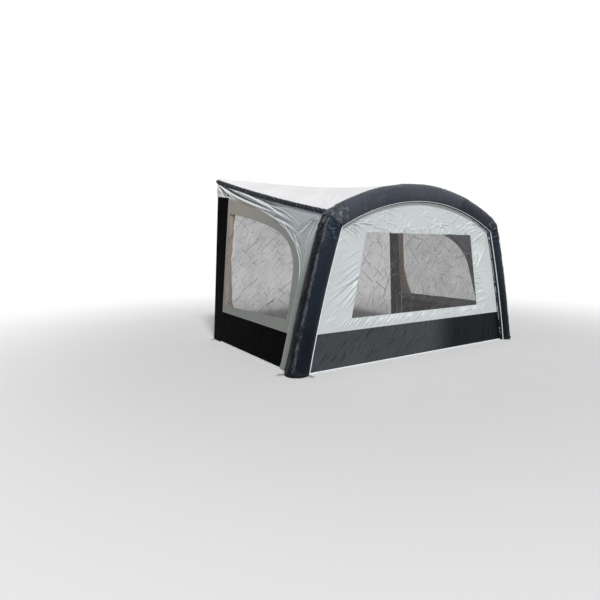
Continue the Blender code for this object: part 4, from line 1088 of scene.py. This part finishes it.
def addRoofSleeve(side, sign, seed):
    angles = np.linspace(0, 2 * math.pi, brace["columns"] + 1)
    ends, high = np.full_like(angles, 2.0), np.full_like(angles, 2.42)
    for _ in range(30):          # how far each line of the tube runs before it meets the arch
        mid = (ends + high) / 2
        x, y, z = onBrace(1, mid, angles, brace["seen"])[0].T
        away = np.hypot(x - arch["bendCentre"][0], z - arch["bendCentre"][1]) - arch["bendRadius"]
        gone = np.hypot(away, y - arch["y"]) < arch["radius"] - 0.002
        ends, high = np.where(gone, ends, mid), np.where(gone, mid, high)

    def place(u, v):
        k = np.rint(u * brace["columns"]).astype(int)
        start, end, angle = brace["start"] - 0.004, ends[k], angles[k]
        reach = start + (end - brace["start"]) * v
        phase = 1.6 * np.sin(angle) + 9 * valueNoise(reach, angle * 0.05, 0.2, seed)
        wrinkle = np.sin(reach * 2 * math.pi / brace["pitch"] + phase)
        wrinkle = wrinkle * (0.15 + 1.1 * valueNoise(reach, angle * 0.05, 0.1, seed + 3))
        lump = tubeCrumple(reach, angle, brace["seen"], 0.06, seed) - 0.5
        lift = (brace["wrinkle"] * wrinkle + brace["lump"] * lump) * smooth((end - reach) / 0.03)
        around = angle * brace["seen"]
        seam = stacked(around, np.minimum(reach - start, end - reach))
        laid = onBrace(sign, reach, angle, brace["seen"] + lift)
        # fold values for painted highlights and shade on the wrinkles
        return *laid, stacked(around, reach), seam, 1.1 * wrinkle + 0.5 * lump

    piece = newSheet(side + "_roof_sleeve_cloth", brace["columns"], brace["rows"], place, brace["wall"], True)
    finishPiece(piece, "roofSleeve", "navy_cloth", "awning", side + "_roof_sleeve")

    def lay(angle, share, full):
        first, last = brace["airEnds"]
        reach = first + (last - first) * share
        return *onBrace(sign, reach, angle, brace["air"] * full * roundEnds(share, last, 0.015, 0.1)), reach

    piece = newTube(side + "_roof_air_skin", 24, 120, 0.03, lay)
    finishPiece(piece, "airFilm", "air_film", "awning", side + "_roof_air_tube")


for side, sign in sides.items():
    seed = 200 + 40 * sign
    addRoofSleeve(side, sign, seed)
    addWall(side, sign, seed + 1)
    addFlange(side, sign, seed + 2)
    addDraughtStrip(side, sign, seed + 3)
    addDoorZip(side, sign)
print("side walls: cloth, leg strips, draught strips, zips and roof-edge tubes")


# doors
door = {"frameCrumple": 0.0016, "filmCrumple": 0.0030, "bandCrumple": 0.0035, "overlap": 0.010, "filmBehind": 0.0022,
        "film": 0.0006, "gap": 0.0115, "hem": (0.0035, 0.0165), "hemRound": 0.0018, "hemWave": 0.001,
        "hemWall": 0.0055, "corners": 0.05, "frontCorner": 0.02, "gathers": 0.008}


def doorWide(rear, front, count):
    return evenly([(wall["hinge"], rear), (wall["doorReach"], front)], count)


def addDoor(side, sign, seed):
    body, toPoint = side + "_door", onWall(sign)
    rearBand, frontBand = bandTop(wall["hinge"]), bandTop(wall["doorReach"])
    rearSill, frontSill = (window["rear"], window["sill"]), (window["front"], window["sill"])
    outer = joined(evenly([(wall["doorReach"], frontBand), doorEnds[0]], 60), doorCurve,
                   evenly([doorEnds[1], (wall["hinge"], rearBand)], 110), doorWide(rearBand, frontBand, 130))
    inner = joined(evenly([frontSill, window["corner"]], 60), windowCurve,
                   evenly([(window["rear"], window["head"]), rearSill], 110), evenly([rearSill, frontSill], 130))
    inner = roundCorners(roundCorners(inner, (0,), door["frontCorner"]), (210, 320), door["corners"])
    sill = slice(326, 445)
    inner[sill, 1] += door["gathers"] * (valueNoise(inner[sill, 0], 0, 0.07, seed + 9) - 0.5)
    lines = fanFolds(seed, (0.30, 2.12), 4, -16, -40, 0.30, 0.012, 0.004)
    lines += scatterFolds(seed + 1, 16, (0.4, 1.3), (2.05, 2.0), -55, 30, 0.10, 0.010, 0.002)
    lines += scatterFolds(seed + 2, 16, (0.35, 0.47), (2.0, 0.54), 80, 20, 0.10, 0.012, 0.002)
    lift = clothLift(lines, door["frameCrumple"], 0.11, seed)
    piece = newStrip(side + "_door_frame_cloth", outer, inner, 16, toPoint, lift, ring=True, fade=0.012)
    finishPiece(piece, "frameGrey", "grey_cloth", body, side + "_door_frame")

    more = door["overlap"]
    rear, front, low = window["rear"] - more, window["front"] + more, window["sill"] - more
    head = joined(np.array([(rear, window["head"] + more)]), offsetLine(windowCurve[::-1], more))
    creases = scatterFolds(seed + 5, 60, (0.4, 0.6), (1.95, 1.7), 48, 14, 0.30, 0.010, 0.0030)
    creases += scatterFolds(seed + 6, 30, (0.4, 0.6), (1.95, 1.7), -52, 25, 0.20, 0.009, 0.0026)
    lift = clothLift(creases, door["filmCrumple"], 0.13, seed + 8, 0.35, 0.9)
    piece = newStrip(side + "_door_window_film", evenly([(rear, low), (front, low)], 150), evenly(head, 150), 110,
                     onWall(sign, door["filmBehind"]), lift, door["film"], fade=0.03)
    finishPiece(piece, side + "_film", "clear_film", body, side + "_door_window")

    foot, top = doorWide(door["gap"], door["gap"], 190), doorWide(rearBand + 0.0005, frontBand + 0.0005, 190)
    lines = scatterFolds(seed + 11, 30, (0.35, 0.05), (2.0, 0.4), 60, 30, 0.16, 0.014, 0.0035)
    lift = clothLift(lines, door["bandCrumple"], 0.12, seed + 12, 0.4)
    piece = newStrip(side + "_door_band_cloth", foot, top, 46, toPoint, lift, fade=0.02)
    finishPiece(piece, "black", "black_cloth", body, side + "_door_band")

    def hemLift(reach, height, v):
        wave = valueNoise(reach, 0, 0.03, seed + 13) - 0.5
        return door["hemRound"] * np.sin(math.pi * v) + door["hemWave"] * wave

    foot, top = (doorWide(height, height, 190) for height in door["hem"])
    piece = newStrip(side + "_door_hem_tape", foot, top, 5, toPoint, hemLift, door["hemWall"], fade=0.0)
    finishPiece(piece, "piping", "silver_cloth", body, side + "_door_hem")


curtain = {"top": 1.98, "bottom": 0.545, "topWidth": 0.15, "waist": 0.115, "bottomWidth": 0.23, "flare": 0.07,
           "folds": 4, "shift": 0.35, "sway": 0.02, "depth": 0.026, "inset": 0.0070, "crumple": 0.003, "cut": 0.52,
           "columns": 130, "rows": 140, "cloth": 0.0014}


def addCurtain(side, sign, seed):
    def place(u, v):
        height = curtain["top"] + (curtain["bottom"] - curtain["top"]) * v
        width = curtain["topWidth"] + (curtain["waist"] - curtain["topWidth"]) * smooth(v / 0.5)
        width = width + (curtain["bottomWidth"] - curtain["waist"]) * smooth((v - 0.5) / 0.5)
        width = width + curtain["flare"] * smooth((v - 0.88) / 0.12) ** 2
        width = width + 0.045 * (valueNoise(height, 0, 0.12, seed + 5) - 0.5)
        shift = curtain["shift"] * (valueNoise(height, u * 0.3, 0.35, seed) - 0.5) * np.sin(math.pi * u)
        phase = 2 * math.pi * curtain["folds"] * (u + shift)
        wave = (1 - np.cos(phase)) / 2
        sway = curtain["sway"] * (valueNoise(height, 0, 0.4, seed + 1) - 0.5) * u
        sway = sway * smooth((curtain["top"] - height) / 0.3)
        reach = wall["hinge"] + 0.003 + width * u + 0.10 * width / curtain["folds"] * np.sin(2 * phase) + sway
        reach = np.maximum(reach, wall["hinge"] + 0.0015)
        small = curtain["crumple"] * (crumple(u * 0.6, height, 0.07, seed + 2, 1.57, 2.5) - 0.5)
        inset = curtain["inset"] + 0.008 * u + (curtain["depth"] - 0.003) * wave ** 0.8 + np.abs(small)
        points, _ = onWall(sign)(reach, height, -inset)
        across = u * curtain["cut"]
        return (points, stacked(sign, 0 * u, 0), stacked(across, height),
                stacked(across, np.minimum(height - 0.60, curtain["top"] - height)))

    piece = newSheet(side + "_curtain_cloth", curtain["columns"], curtain["rows"], place, curtain["cloth"], sharp=60)
    finishPiece(piece, "curtain", "curtain_cloth", side + "_door", side + "_curtain")


for side, sign in sides.items():
    seed = 400 + 60 * sign
    addDoor(side, sign, seed)
    addCurtain(side, sign, seed + 20)
print("doors: frames, windows, bands, hems and curtains")


# roof
roof = {"columns": 240, "rows": 170, "thick": 0.004, "wave": 0.004, "wall": 0.0018, "half": 1.4219, "rail": 2.451,
        "highest": 2.4545, "seat": 0.1303 * math.cos(math.pi / 8), "flat": (3.56, 2.46), "area": 7.85}
keder = {"half": 1.779, "y": 1.317, "height": 2.4515, "radius": 0.0035, "columns": 12, "rows": 160}


def addRoof():
    half, rail = roof["half"], roof["rail"]
    seamRadius, bendSeam = arch["crownRadius"] + roof["seat"], arch["bendRadius"] + roof["seat"]
    across = np.linspace(-half, half, roof["columns"] + 1)
    size = np.abs(across)
    crown = arch["crownCentre"][1] + np.sqrt(seamRadius ** 2 - size ** 2)
    bend = arch["bendCentre"][1] + np.sqrt(np.clip(bendSeam ** 2 - (size - arch["bendCentre"][0]) ** 2, 0, None))
    front = np.where(size < arch["crownCentre"][0] + seamRadius * math.cos(arch["bendEnd"]), crown, bend)
    lines = scatterFolds(71, 30, (-1.6, 0.1), (1.6, 2.3), 35, 35, 0.5, 0.03, 0.0035)
    lines += fanFolds(72, (-1.42, 2.33), 7, -20, -80, 0.7, 0.022, 0.005)
    lines += fanFolds(73, (1.42, 2.33), 7, -160, -100, 0.7, 0.022, 0.005)
    lines += fanFolds(74, (-1.75, 0.05), 6, 20, 75, 0.7, 0.02, 0.004)
    lines += fanFolds(75, (1.75, 0.05), 6, 160, 105, 0.7, 0.02, 0.004)
    start, corner = brace["start"], brace["cornerReach"]

    def place(u, v):
        k = np.rint(u * roof["columns"]).astype(int)
        reach = start + (corner - start) * v
        side = wallX(reach, braceHeight(reach))
        x = side * across[k] / half
        inward = side - np.abs(x)
        z = rail + (front[k] - rail) * v - 4 * brace["sag"] * v * (1 - v) + roof["thick"]
        z = z - (brace["radius"] - brace["seen"]) * (1 - smooth(inward / 0.12))
        calm = smooth(inward / 0.04) * smooth((reach - start) / 0.03) * smooth((corner - reach) / 0.04)
        ripple = foldLift(x, reach, lines) + roof["wave"] * (crumple(x, reach, 0.45, 77) - 0.4)
        z = z + ripple * calm * smooth((roof["highest"] - z) / 0.02)
        seam = stacked(x, np.minimum(reach - start, corner - reach))
        return stacked(x, wall["railY"] - reach, z), stacked(0, 0, 1 + 0 * x), stacked(x, reach), seam

    piece = newSheet("roof_cloth", roof["columns"], roof["rows"], place, roof["wall"])
    finishPiece(piece, "pale", "pale_cloth", "awning", "roof_panel")


def onRail(y, z):
    # a level round cord from the left to the right
    def toPoint(x, angle, radius):
        c, s = np.cos(angle), np.sin(angle)
        return stacked(x, y + c * radius, z + s * radius), stacked(0, c, s), x
    return toPoint


def addKeder():
    def lay(angle, share, full):
        x = keder["half"] * (2 * share - 1)
        return onRail(keder["y"], keder["height"])(x, angle, keder["radius"] * full)

    piece = newTube("rail_keder", keder["columns"], keder["rows"], keder["radius"], lay)
    finishPiece(piece, "strap", "pale_cloth", "awning", "rail_bead")


addRoof()
addKeder()
print("roof: sheet and rail bead")


# front panel
front = {"faceY": -1.1514908, "bandTop": 0.438, "sill": 0.582, "head": 1.579, "sillHalf": 1.167, "headHalf": 0.958,
         "inward": -0.1164, "crumple": 0.0055, "fine": 0.0026, "scale": 1.15, "cloth": 0.0015, "overlap": 0.012,
         "corners": 0.025, "scallop": 0.007, "film": 0.0006, "filmBehind": 0.0024, "bandBehind": 0.0001,
         "gap": 0.0115, "hemRadius": 0.0070, "hemWave": 0.0006, "hemHeight": 0.0076}
frontFolds = millimetres([
    (-1020, 1120, -1600, 740, 19, 12), (-1020, 1060, -1500, 680, 17, 10), (-1050, 1190, -1440, 940, 15, 8),
    (-1050, 1000, -1360, 660, 16, 9), (-1020, 1090, -1580, 840, 17, 10), (-1060, 1260, -1380, 1080, 14, 6),
    (-1080, 900, -1340, 620, 16, 7), (-1040, 1380, -1300, 1240, 14, 6), (-1310, 1630, -1160, 1530, 14, 9),
    (-1270, 1620, -1090, 1500, 12, 9), (-1220, 1630, -1000, 1510, 12, 9), (-1350, 1560, -1240, 1450, 12, 7),
    (-1290, 1490, -1180, 1450, 11, 6), (-1210, 1680, -1020, 1660, 11, 7), (-1130, 1680, -720, 1650, 11, 9),
    (-1020, 1700, -770, 1670, 10, 6), (-1060, 1730, -910, 1780, 12, 6), (-890, 1650, -530, 1630, 10, 7),
    (-800, 1830, -830, 1690, 13, 8), (-720, 1830, -670, 1730, 12, 6), (-640, 1860, -470, 1770, 14, 10),
    (-670, 1710, -390, 1670, 12, 7), (-530, 1900, -420, 1840, 12, 8), (-450, 1920, -530, 1870, 12, 6),
    (-100, 1920, 20, 1880, 12, 6), (-20, 1820, 90, 1880, 12, 6), (440, 1660, 190, 1700, 12, 7),
    (520, 1710, 220, 1740, 12, 7), (790, 1890, 550, 1750, 14, 10), (690, 1810, 490, 1710, 13, 8),
    (910, 1740, 830, 1880, 14, 9), (1060, 1690, 940, 1820, 14, 10), (1290, 1630, 1000, 1510, 13, 11),
    (1270, 1660, 1010, 1550, 13, 10), (1190, 1500, 1000, 1480, 10, 6), (-410, 1630, -240, 1680, 12, 7),
    (-240, 1620, -70, 1660, 12, 7), (-60, 1630, 110, 1650, 12, 6),
])
cornerFolds = millimetres([         # from the window's right edge to the panel's upper corner, and short gathers
    (965, 1530, 1330, 1670, 10, 10), (975, 1480, 1330, 1660, 10, 13), (985, 1430, 1340, 1660, 9, 12),
    (998, 1370, 1340, 1650, 9, 12), (1010, 1310, 1340, 1650, 9, 12), (1025, 1240, 1350, 1640, 9, 11),
    (1045, 1140, 1350, 1640, 10, 14), (1070, 1070, 1360, 1620, 10, 13), (1120, 1100, 1360, 1600, 9, 8),
    (1065, 1050, 1300, 1100, 10, 8), (1080, 980, 1300, 940, 14, 14), (1090, 930, 1260, 890, 12, 10),
    (1100, 870, 1320, 850, 14, 13), (1115, 800, 1300, 770, 12, 10), (1125, 750, 1360, 800, 12, 10),
    (1140, 680, 1400, 760, 13, 12), (1150, 620, 1420, 700, 12, 10), (1050, 1700, 800, 1620, 10, 9),
    (1100, 1660, 900, 1600, 9, 8), (1160, 1730, 860, 1700, 9, 9), (1000, 1760, 780, 1700, 9, 8),
    (920, 1720, 740, 1640, 10, 9), (860, 1680, 700, 1610, 9, 8), (760, 1720, 600, 1640, 9, 8),
])
gathers = [          # rows of short folds under the window and above it
    {"count": 44, "half": 1.30, "jitter": 0.015, "lean": (0.05, 0.10), "shift": (1, -0.7), "height": 0.592,
     "end": (0.43, 0.47), "width": 0.013, "lift": 0.010, "share": (0.5, 1.4)},
    {"count": 34, "half": 0.95, "jitter": 0.02, "lean": (-0.09, 0.09), "shift": (0, 1), "height": 1.572,
     "end": (1.64, 1.72), "width": 0.012, "lift": 0.009, "share": (0.4, 1.3)},
]


def onFront(inset=0.0):
    def toPoint(x, z, lift):
        return stacked(x, front["faceY"] + inset - lift, z), stacked(0, -1, 0 * x)
    return toPoint


def archEdge(start, end, count):
    # the panel's outline inside the arch
    x, z, nx, nz, _ = archAt(np.linspace(start, end, count + 1))
    return stacked(x + nx * front["inward"], z + nz * front["inward"])


def level(half, height, count):
    # a level line, even about the middle
    return evenly([(-half, height), (half, height)], count)


def gatherFolds():
    rng = np.random.default_rng(5)
    lines = []
    for row in gathers:
        for share in np.linspace(-1, 1, row["count"]):
            x = row["half"] * share + rng.uniform(-row["jitter"], row["jitter"])
            lean = rng.uniform(*row["lean"])
            top, foot = (x + lean * shift for shift in row["shift"])
            lines.append((top, row["height"], foot, rng.uniform(*row["end"]), row["width"],
                          row["lift"] * rng.uniform(*row["share"])))
    return lines


def addFrontPanel():
    rise = archEdge(0, legRun, 1999)[:, 1]
    low = float(np.interp(front["bandTop"], rise, np.linspace(0, legRun, 2000)))
    outer = joined(archEdge(low, seamRun, 110), archEdge(seamRun, wholeRun - seamRun, 300),
                   archEdge(wholeRun - seamRun, wholeRun - low, 110))
    outer = joined(outer, evenly([outer[-1], outer[0]], 270))
    sill, head, sillHalf, headHalf = (front[key] for key in ("sill", "head", "sillHalf", "headHalf"))
    inner = joined(evenly([(sillHalf, sill), (headHalf, head)], 110), level(-headHalf, head, 300),
                   evenly([(-headHalf, head), (-sillHalf, sill)], 110), level(sillHalf, sill, 270))
    inner = roundCorners(inner, (0, 110, 410, 520), front["corners"])
    top = slice(112, 408)          # the gathered edge above the window is slightly scalloped
    x = inner[top, 0]
    inner[top, 1] += front["scallop"] * smooth((headHalf - np.abs(x)) / 0.06) * (valueNoise(x, 0, 0.06, 98) - 0.35)
    lines = frontFolds + cornerFolds + gatherFolds()
    lines += scatterFolds(91, 70, (-1.1, 1.62), (1.1, 2.0), 35, 60, 0.15, 0.010, 0.0060)
    lines += scatterFolds(92, 14, (1.0, 0.5), (1.45, 1.6), 30, 30, 0.20, 0.011, 0.0045)
    lines += scatterFolds(93, 20, (-1.6, 0.5), (-1.1, 1.6), 38, 20, 0.25, 0.014, 0.004)
    lines += fanFolds(94, (-1.24, 1.70), 9, -62, 40, 0.50, 0.014, 0.006)

    def lift(x, z, v):
        busy = 0.25 + 0.75 * smooth((z - 1.40) / 0.25) + 0.5 * smooth((0.62 - z) / 0.06)
        busy = np.minimum(busy + 0.6 * smooth((x - 0.95) / 0.1), 1.15)
        broad = front["crumple"] * busy * (crumple(x, z, 0.11, 96, 0.5, 1.6) - 0.35)
        fine = front["fine"] * busy * crumple(x, z, 0.035, 97, 0.6, 1.5)
        return front["scale"] * foldLift(x, z, lines) + broad + fine

    piece = newStrip("front_cloth", outer, inner, 56, onFront(), lift, front["cloth"], ring=True, fade=0.012,
                     shadedFolds=cornerFolds)
    finishPiece(piece, "frontSilver", "silver_cloth", "front_panel", "front_panel_cloth")

    more = front["overlap"]
    foot, top = level(sillHalf + more, sill - more, 240), level(headHalf + more, head + more, 240)
    creases = scatterFolds(101, 70, (-1.1, 0.62), (1.1, 1.55), 50, 16, 0.28, 0.011, 0.0032)
    creases += scatterFolds(102, 50, (-1.1, 0.62), (1.1, 1.55), -48, 30, 0.20, 0.010, 0.0028)
    lift = clothLift(creases, 0.003, 0.12, 103, 0.35, 0.8)
    piece = newStrip("front_window_film", foot, top, 110, onFront(front["filmBehind"]), lift, front["film"], fade=0.04)
    finishPiece(piece, "frontFilm", "clear_film", "front_panel", "front_window")

    (x,), (z,), (nx,), (nz,), _ = archAt(np.array([0.0]))
    footHalf = x + nx * front["inward"] + (front["gap"] - z - nz * front["inward"]) * -nz / nx
    foot, top = level(footHalf, front["gap"], 320), level(outer[0][0], front["bandTop"] + 0.0005, 320)
    lines = scatterFolds(111, 60, (-1.7, 0.05), (0.3, 0.40), 42, 14, 0.26, 0.013, -0.0045)
    lines += scatterFolds(112, 40, (0.0, 0.04), (1.7, 0.42), 75, 16, 0.22, 0.010, 0.0030)
    lines += scatterFolds(113, 24, (-1.7, 0.30), (1.6, 0.43), 75, 20, 0.10, 0.010, 0.0035)
    lift = clothLift(lines, 0.003, 0.10, 114, 0.4, 0.7, 1.8)
    piece = newStrip("front_band_cloth", foot, top, 50, onFront(front["bandBehind"]), lift, fade=0.015)
    finishPiece(piece, "bandWithSheen", "charcoal_cloth", "front_panel", "front_band")

    def lay(angle, share, full):
        x = -footHalf + 2 * footHalf * share
        radius = front["hemRadius"] + front["hemWave"] * (valueNoise(x, 0, 0.05, 115) - 0.5)
        return onRail(front["faceY"], front["hemHeight"])(x, angle, radius * full)

    piece = newTube("front_hem", 14, 260, 0.006, lay)
    finishPiece(piece, "piping", "white_trim", "front_panel", "front_hem_cord")


addFrontPanel()
print("front panel: cloth, window, band and hem")


# straps, loops, sliders and valve
loop = {"length": 0.11, "width": 0.03, "webbing": 0.0075, "thick": 0.0024, "rows": 72, "columns": 12,
        "height": 0.0215, "turn": math.pi / 8, "footing": 0.134, "droop": 0.004, "cut": 0.24}


def addPegLoops():
    (x,), _, (nx,), (nz,), _ = archAt(np.array([0.0]))
    middle = x + (arch["foot"] - loop["height"]) * nz / nx
    places = []
    for side, sign in sides.items():
        for name, angle in (("front", -math.pi / 2 - loop["turn"]), ("side", loop["turn"])):
            way = np.array([sign * math.cos(angle) / nx, math.sin(angle)])
            start = np.array([sign * middle, arch["y"]]) + way * loop["footing"]
            places.append((side + "_" + name + "_peg_loop", start, way / math.hypot(*way)))
        start = (sign * (float(wallX(0.1, 0.02)) + 0.0006), wall["railY"] - 0.1)
        places.append((side + "_rear_peg_loop", start, (sign, 0.0)))
    for name, start, way in places:
        def placeLoop(u, v):
            half = (loop["width"] - loop["webbing"]) / 2
            around, tube = 2 * math.pi * v, 2 * math.pi * u
            c, s = np.cos(around), np.sin(around)
            along = loop["length"] / 2 + power(c, 0.55) * ((loop["length"] - loop["width"]) / 2 + half)
            out = power(np.cos(tube), 0.35) * loop["webbing"] / 2
            up = power(np.sin(tube), 0.6) * loop["thick"] / 2
            droop = loop["droop"] * np.sin(math.pi * along / loop["length"])
            a, b = along + c * out, power(s, 0.75) * half + s * out
            points = stacked(start[0] + way[0] * a - way[1] * b, start[1] + way[1] * a + way[0] * b,
                             loop["height"] + up - droop)
            outward = stacked((way[0] * c - way[1] * s) * np.cos(tube), (way[1] * c + way[0] * s) * np.cos(tube),
                              np.sin(tube))
            return points, outward, stacked(tube * 0.003, v * loop["cut"]), stacked(v * loop["cut"], 1)

        piece = newSheet(name + "_webbing", loop["columns"], loop["rows"], placeLoop, 0, True)
        finishPiece(piece, "loop", "black_webbing", "awning", name)


strap = {"length": 0.17, "width": 0.026, "thick": 0.0018, "drop": 0.09, "bulge": 0.010, "lift": 0.0026,
         "wave": 0.002, "waves": 17, "reach": 0.001}


def addCornerStraps():
    top = wall["railHeight"] - strap["drop"]
    heights = np.linspace(top - strap["length"], top, 61)
    outer, inner = (stacked(strap["reach"] + width, heights) for width in (0, strap["width"]))

    def lift(reach, height, v):
        share = (height - top + strap["length"]) / strap["length"]
        wave = strap["wave"] * np.sin(share * strap["waves"]) * (1 - share)
        return strap["lift"] + strap["bulge"] * np.sin(math.pi * share) ** 2 + wave

    for side, sign in sides.items():
        piece = newStrip(side + "_corner_webbing", outer, inner, 10, onWall(sign), lift, strap["thick"], fade=0.0)
        finishPiece(piece, "strap", "white_trim", "awning", side + "_corner_strap")


addPegLoops()
addCornerStraps()

slider = {"width": 0.009, "height": 0.012, "pull": 0.028, "waist": 0.72, "lift": 0.0032, "doorHeight": 0.05,
          "frontSeat": (1.764255, -1.169076, 0.097564), "frontUp": (-0.228, 0, 0.9737), "frontRun": 0.07}


def shapedBox(size, place, bevel):
    bpy.ops.object.select_all(action="DESELECT")
    bpy.ops.mesh.primitive_cube_add(size=1)
    piece = bpy.context.active_object
    bpy.ops.object.mode_set(mode="EDIT")
    bpy.ops.transform.resize(value=size)
    bpy.ops.transform.translate(value=place)
    bpy.ops.object.mode_set(mode="OBJECT")
    edge = piece.modifiers.new("edge", "BEVEL")
    edge.width, edge.segments, edge.limit_method = bevel, 3, "NONE"
    bpy.ops.object.modifier_apply(modifier="edge")
    return piece


def modelSlider():
    # built with its length along Z and its face along -Y: two plates, a bridge and a pull with a slot
    width, height, pull = slider["width"], slider["height"], slider["pull"]
    plate = shapedBox((width, 0.0014, height), (0, -0.0008, height / 2), 0.0006)
    for vertex in plate.data.vertices:          # a narrow waist at the foot of the body
        if vertex.co.z < height * 0.35:
            vertex.co.x *= slider["waist"]
    boxes = [((width * 0.82, 0.0010, height * 0.9), (0, -0.0026, height / 2), 0.0004),          # upper plate
             ((0.0022, 0.0020, height * 0.55), (0, -0.0040, height * 0.55), 0.0008),            # bridge
             ((0.0009, 0.0026, pull * 0.74), (-0.0021, -0.0042, -pull * 0.45), 0.0003),         # rails of the pull
             ((0.0009, 0.0026, pull * 0.74), (0.0021, -0.0042, -pull * 0.45), 0.0003),
             ((0.0050, 0.0016, 0.0016), (0, -0.0042, height * 0.32), 0.0005),
             ((0.0050, 0.0016, 0.0044), (0, -0.0042, -pull + 0.0022), 0.0005),
             ((0.0030, 0.0014, 0.006), (0, -0.0042, 0.0005), 0.0005)]                           # stem
    others = [shapedBox(*box) for box in boxes]
    activate(plate)
    for other in others:
        other.select_set(True)
    bpy.ops.object.join()
    plate.name = plate.data.name = "zip_slider_pattern"
    bpy.ops.object.shade_smooth_by_angle(angle=math.radians(35))
    return plate


def addSliders():
    pattern = modelSlider()
    jobs = []
    for side, sign in sides.items():
        reach = wall["doorReach"] + wall["zipWidth"] / 2
        low, high = (Vector((sign * (float(wallX(reach, height)) + slider["lift"]), wall["railY"] - reach, height))
                     for height in (slider["doorHeight"], wall["doorStraight"]))
        up = (high - low).normalized()
        jobs.append((side + "_door_slider", low, up, up.cross(Vector((0, -sign, 0))).normalized()))
        mirror, angle = Vector((sign, 1, 1)), frontZip["turn"]
        up = (mirror * Vector(slider["frontUp"])).normalized()
        _, _, (nx,), (nz,), _ = archAt(np.array([slider["frontRun"]]))
        out = Vector((sign * nx * math.cos(angle), math.sin(angle), nz * math.cos(angle)))
        out = (out - up * out.dot(up)).normalized()
        jobs.append((side + "_front_slider", mirror * Vector(slider["frontSeat"]) + out * slider["lift"], up, out))
    for name, seat, up, out in jobs:
        piece = bpy.data.objects.new(name + "_cast", pattern.data.copy())
        bpy.context.scene.collection.objects.link(piece)
        turn = Matrix((up.cross(out), -out, up)).transposed().to_4x4()
        piece.data.transform(Matrix.Translation(seat) @ turn)
        finishPiece(piece, "zinc", "zinc", name, name)
    bpy.data.objects.remove(pattern)


addSliders()
for node, finish in (("valve_body", "greyPlastic"), ("valve_cap", "greyPlastic"), ("valve_plunger", "whitePlastic")):
    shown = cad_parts[node]
    shown.data.materials.clear()
    shown.data.materials.append(finishes[finish])
print("small parts: loops, straps, sliders and valve")
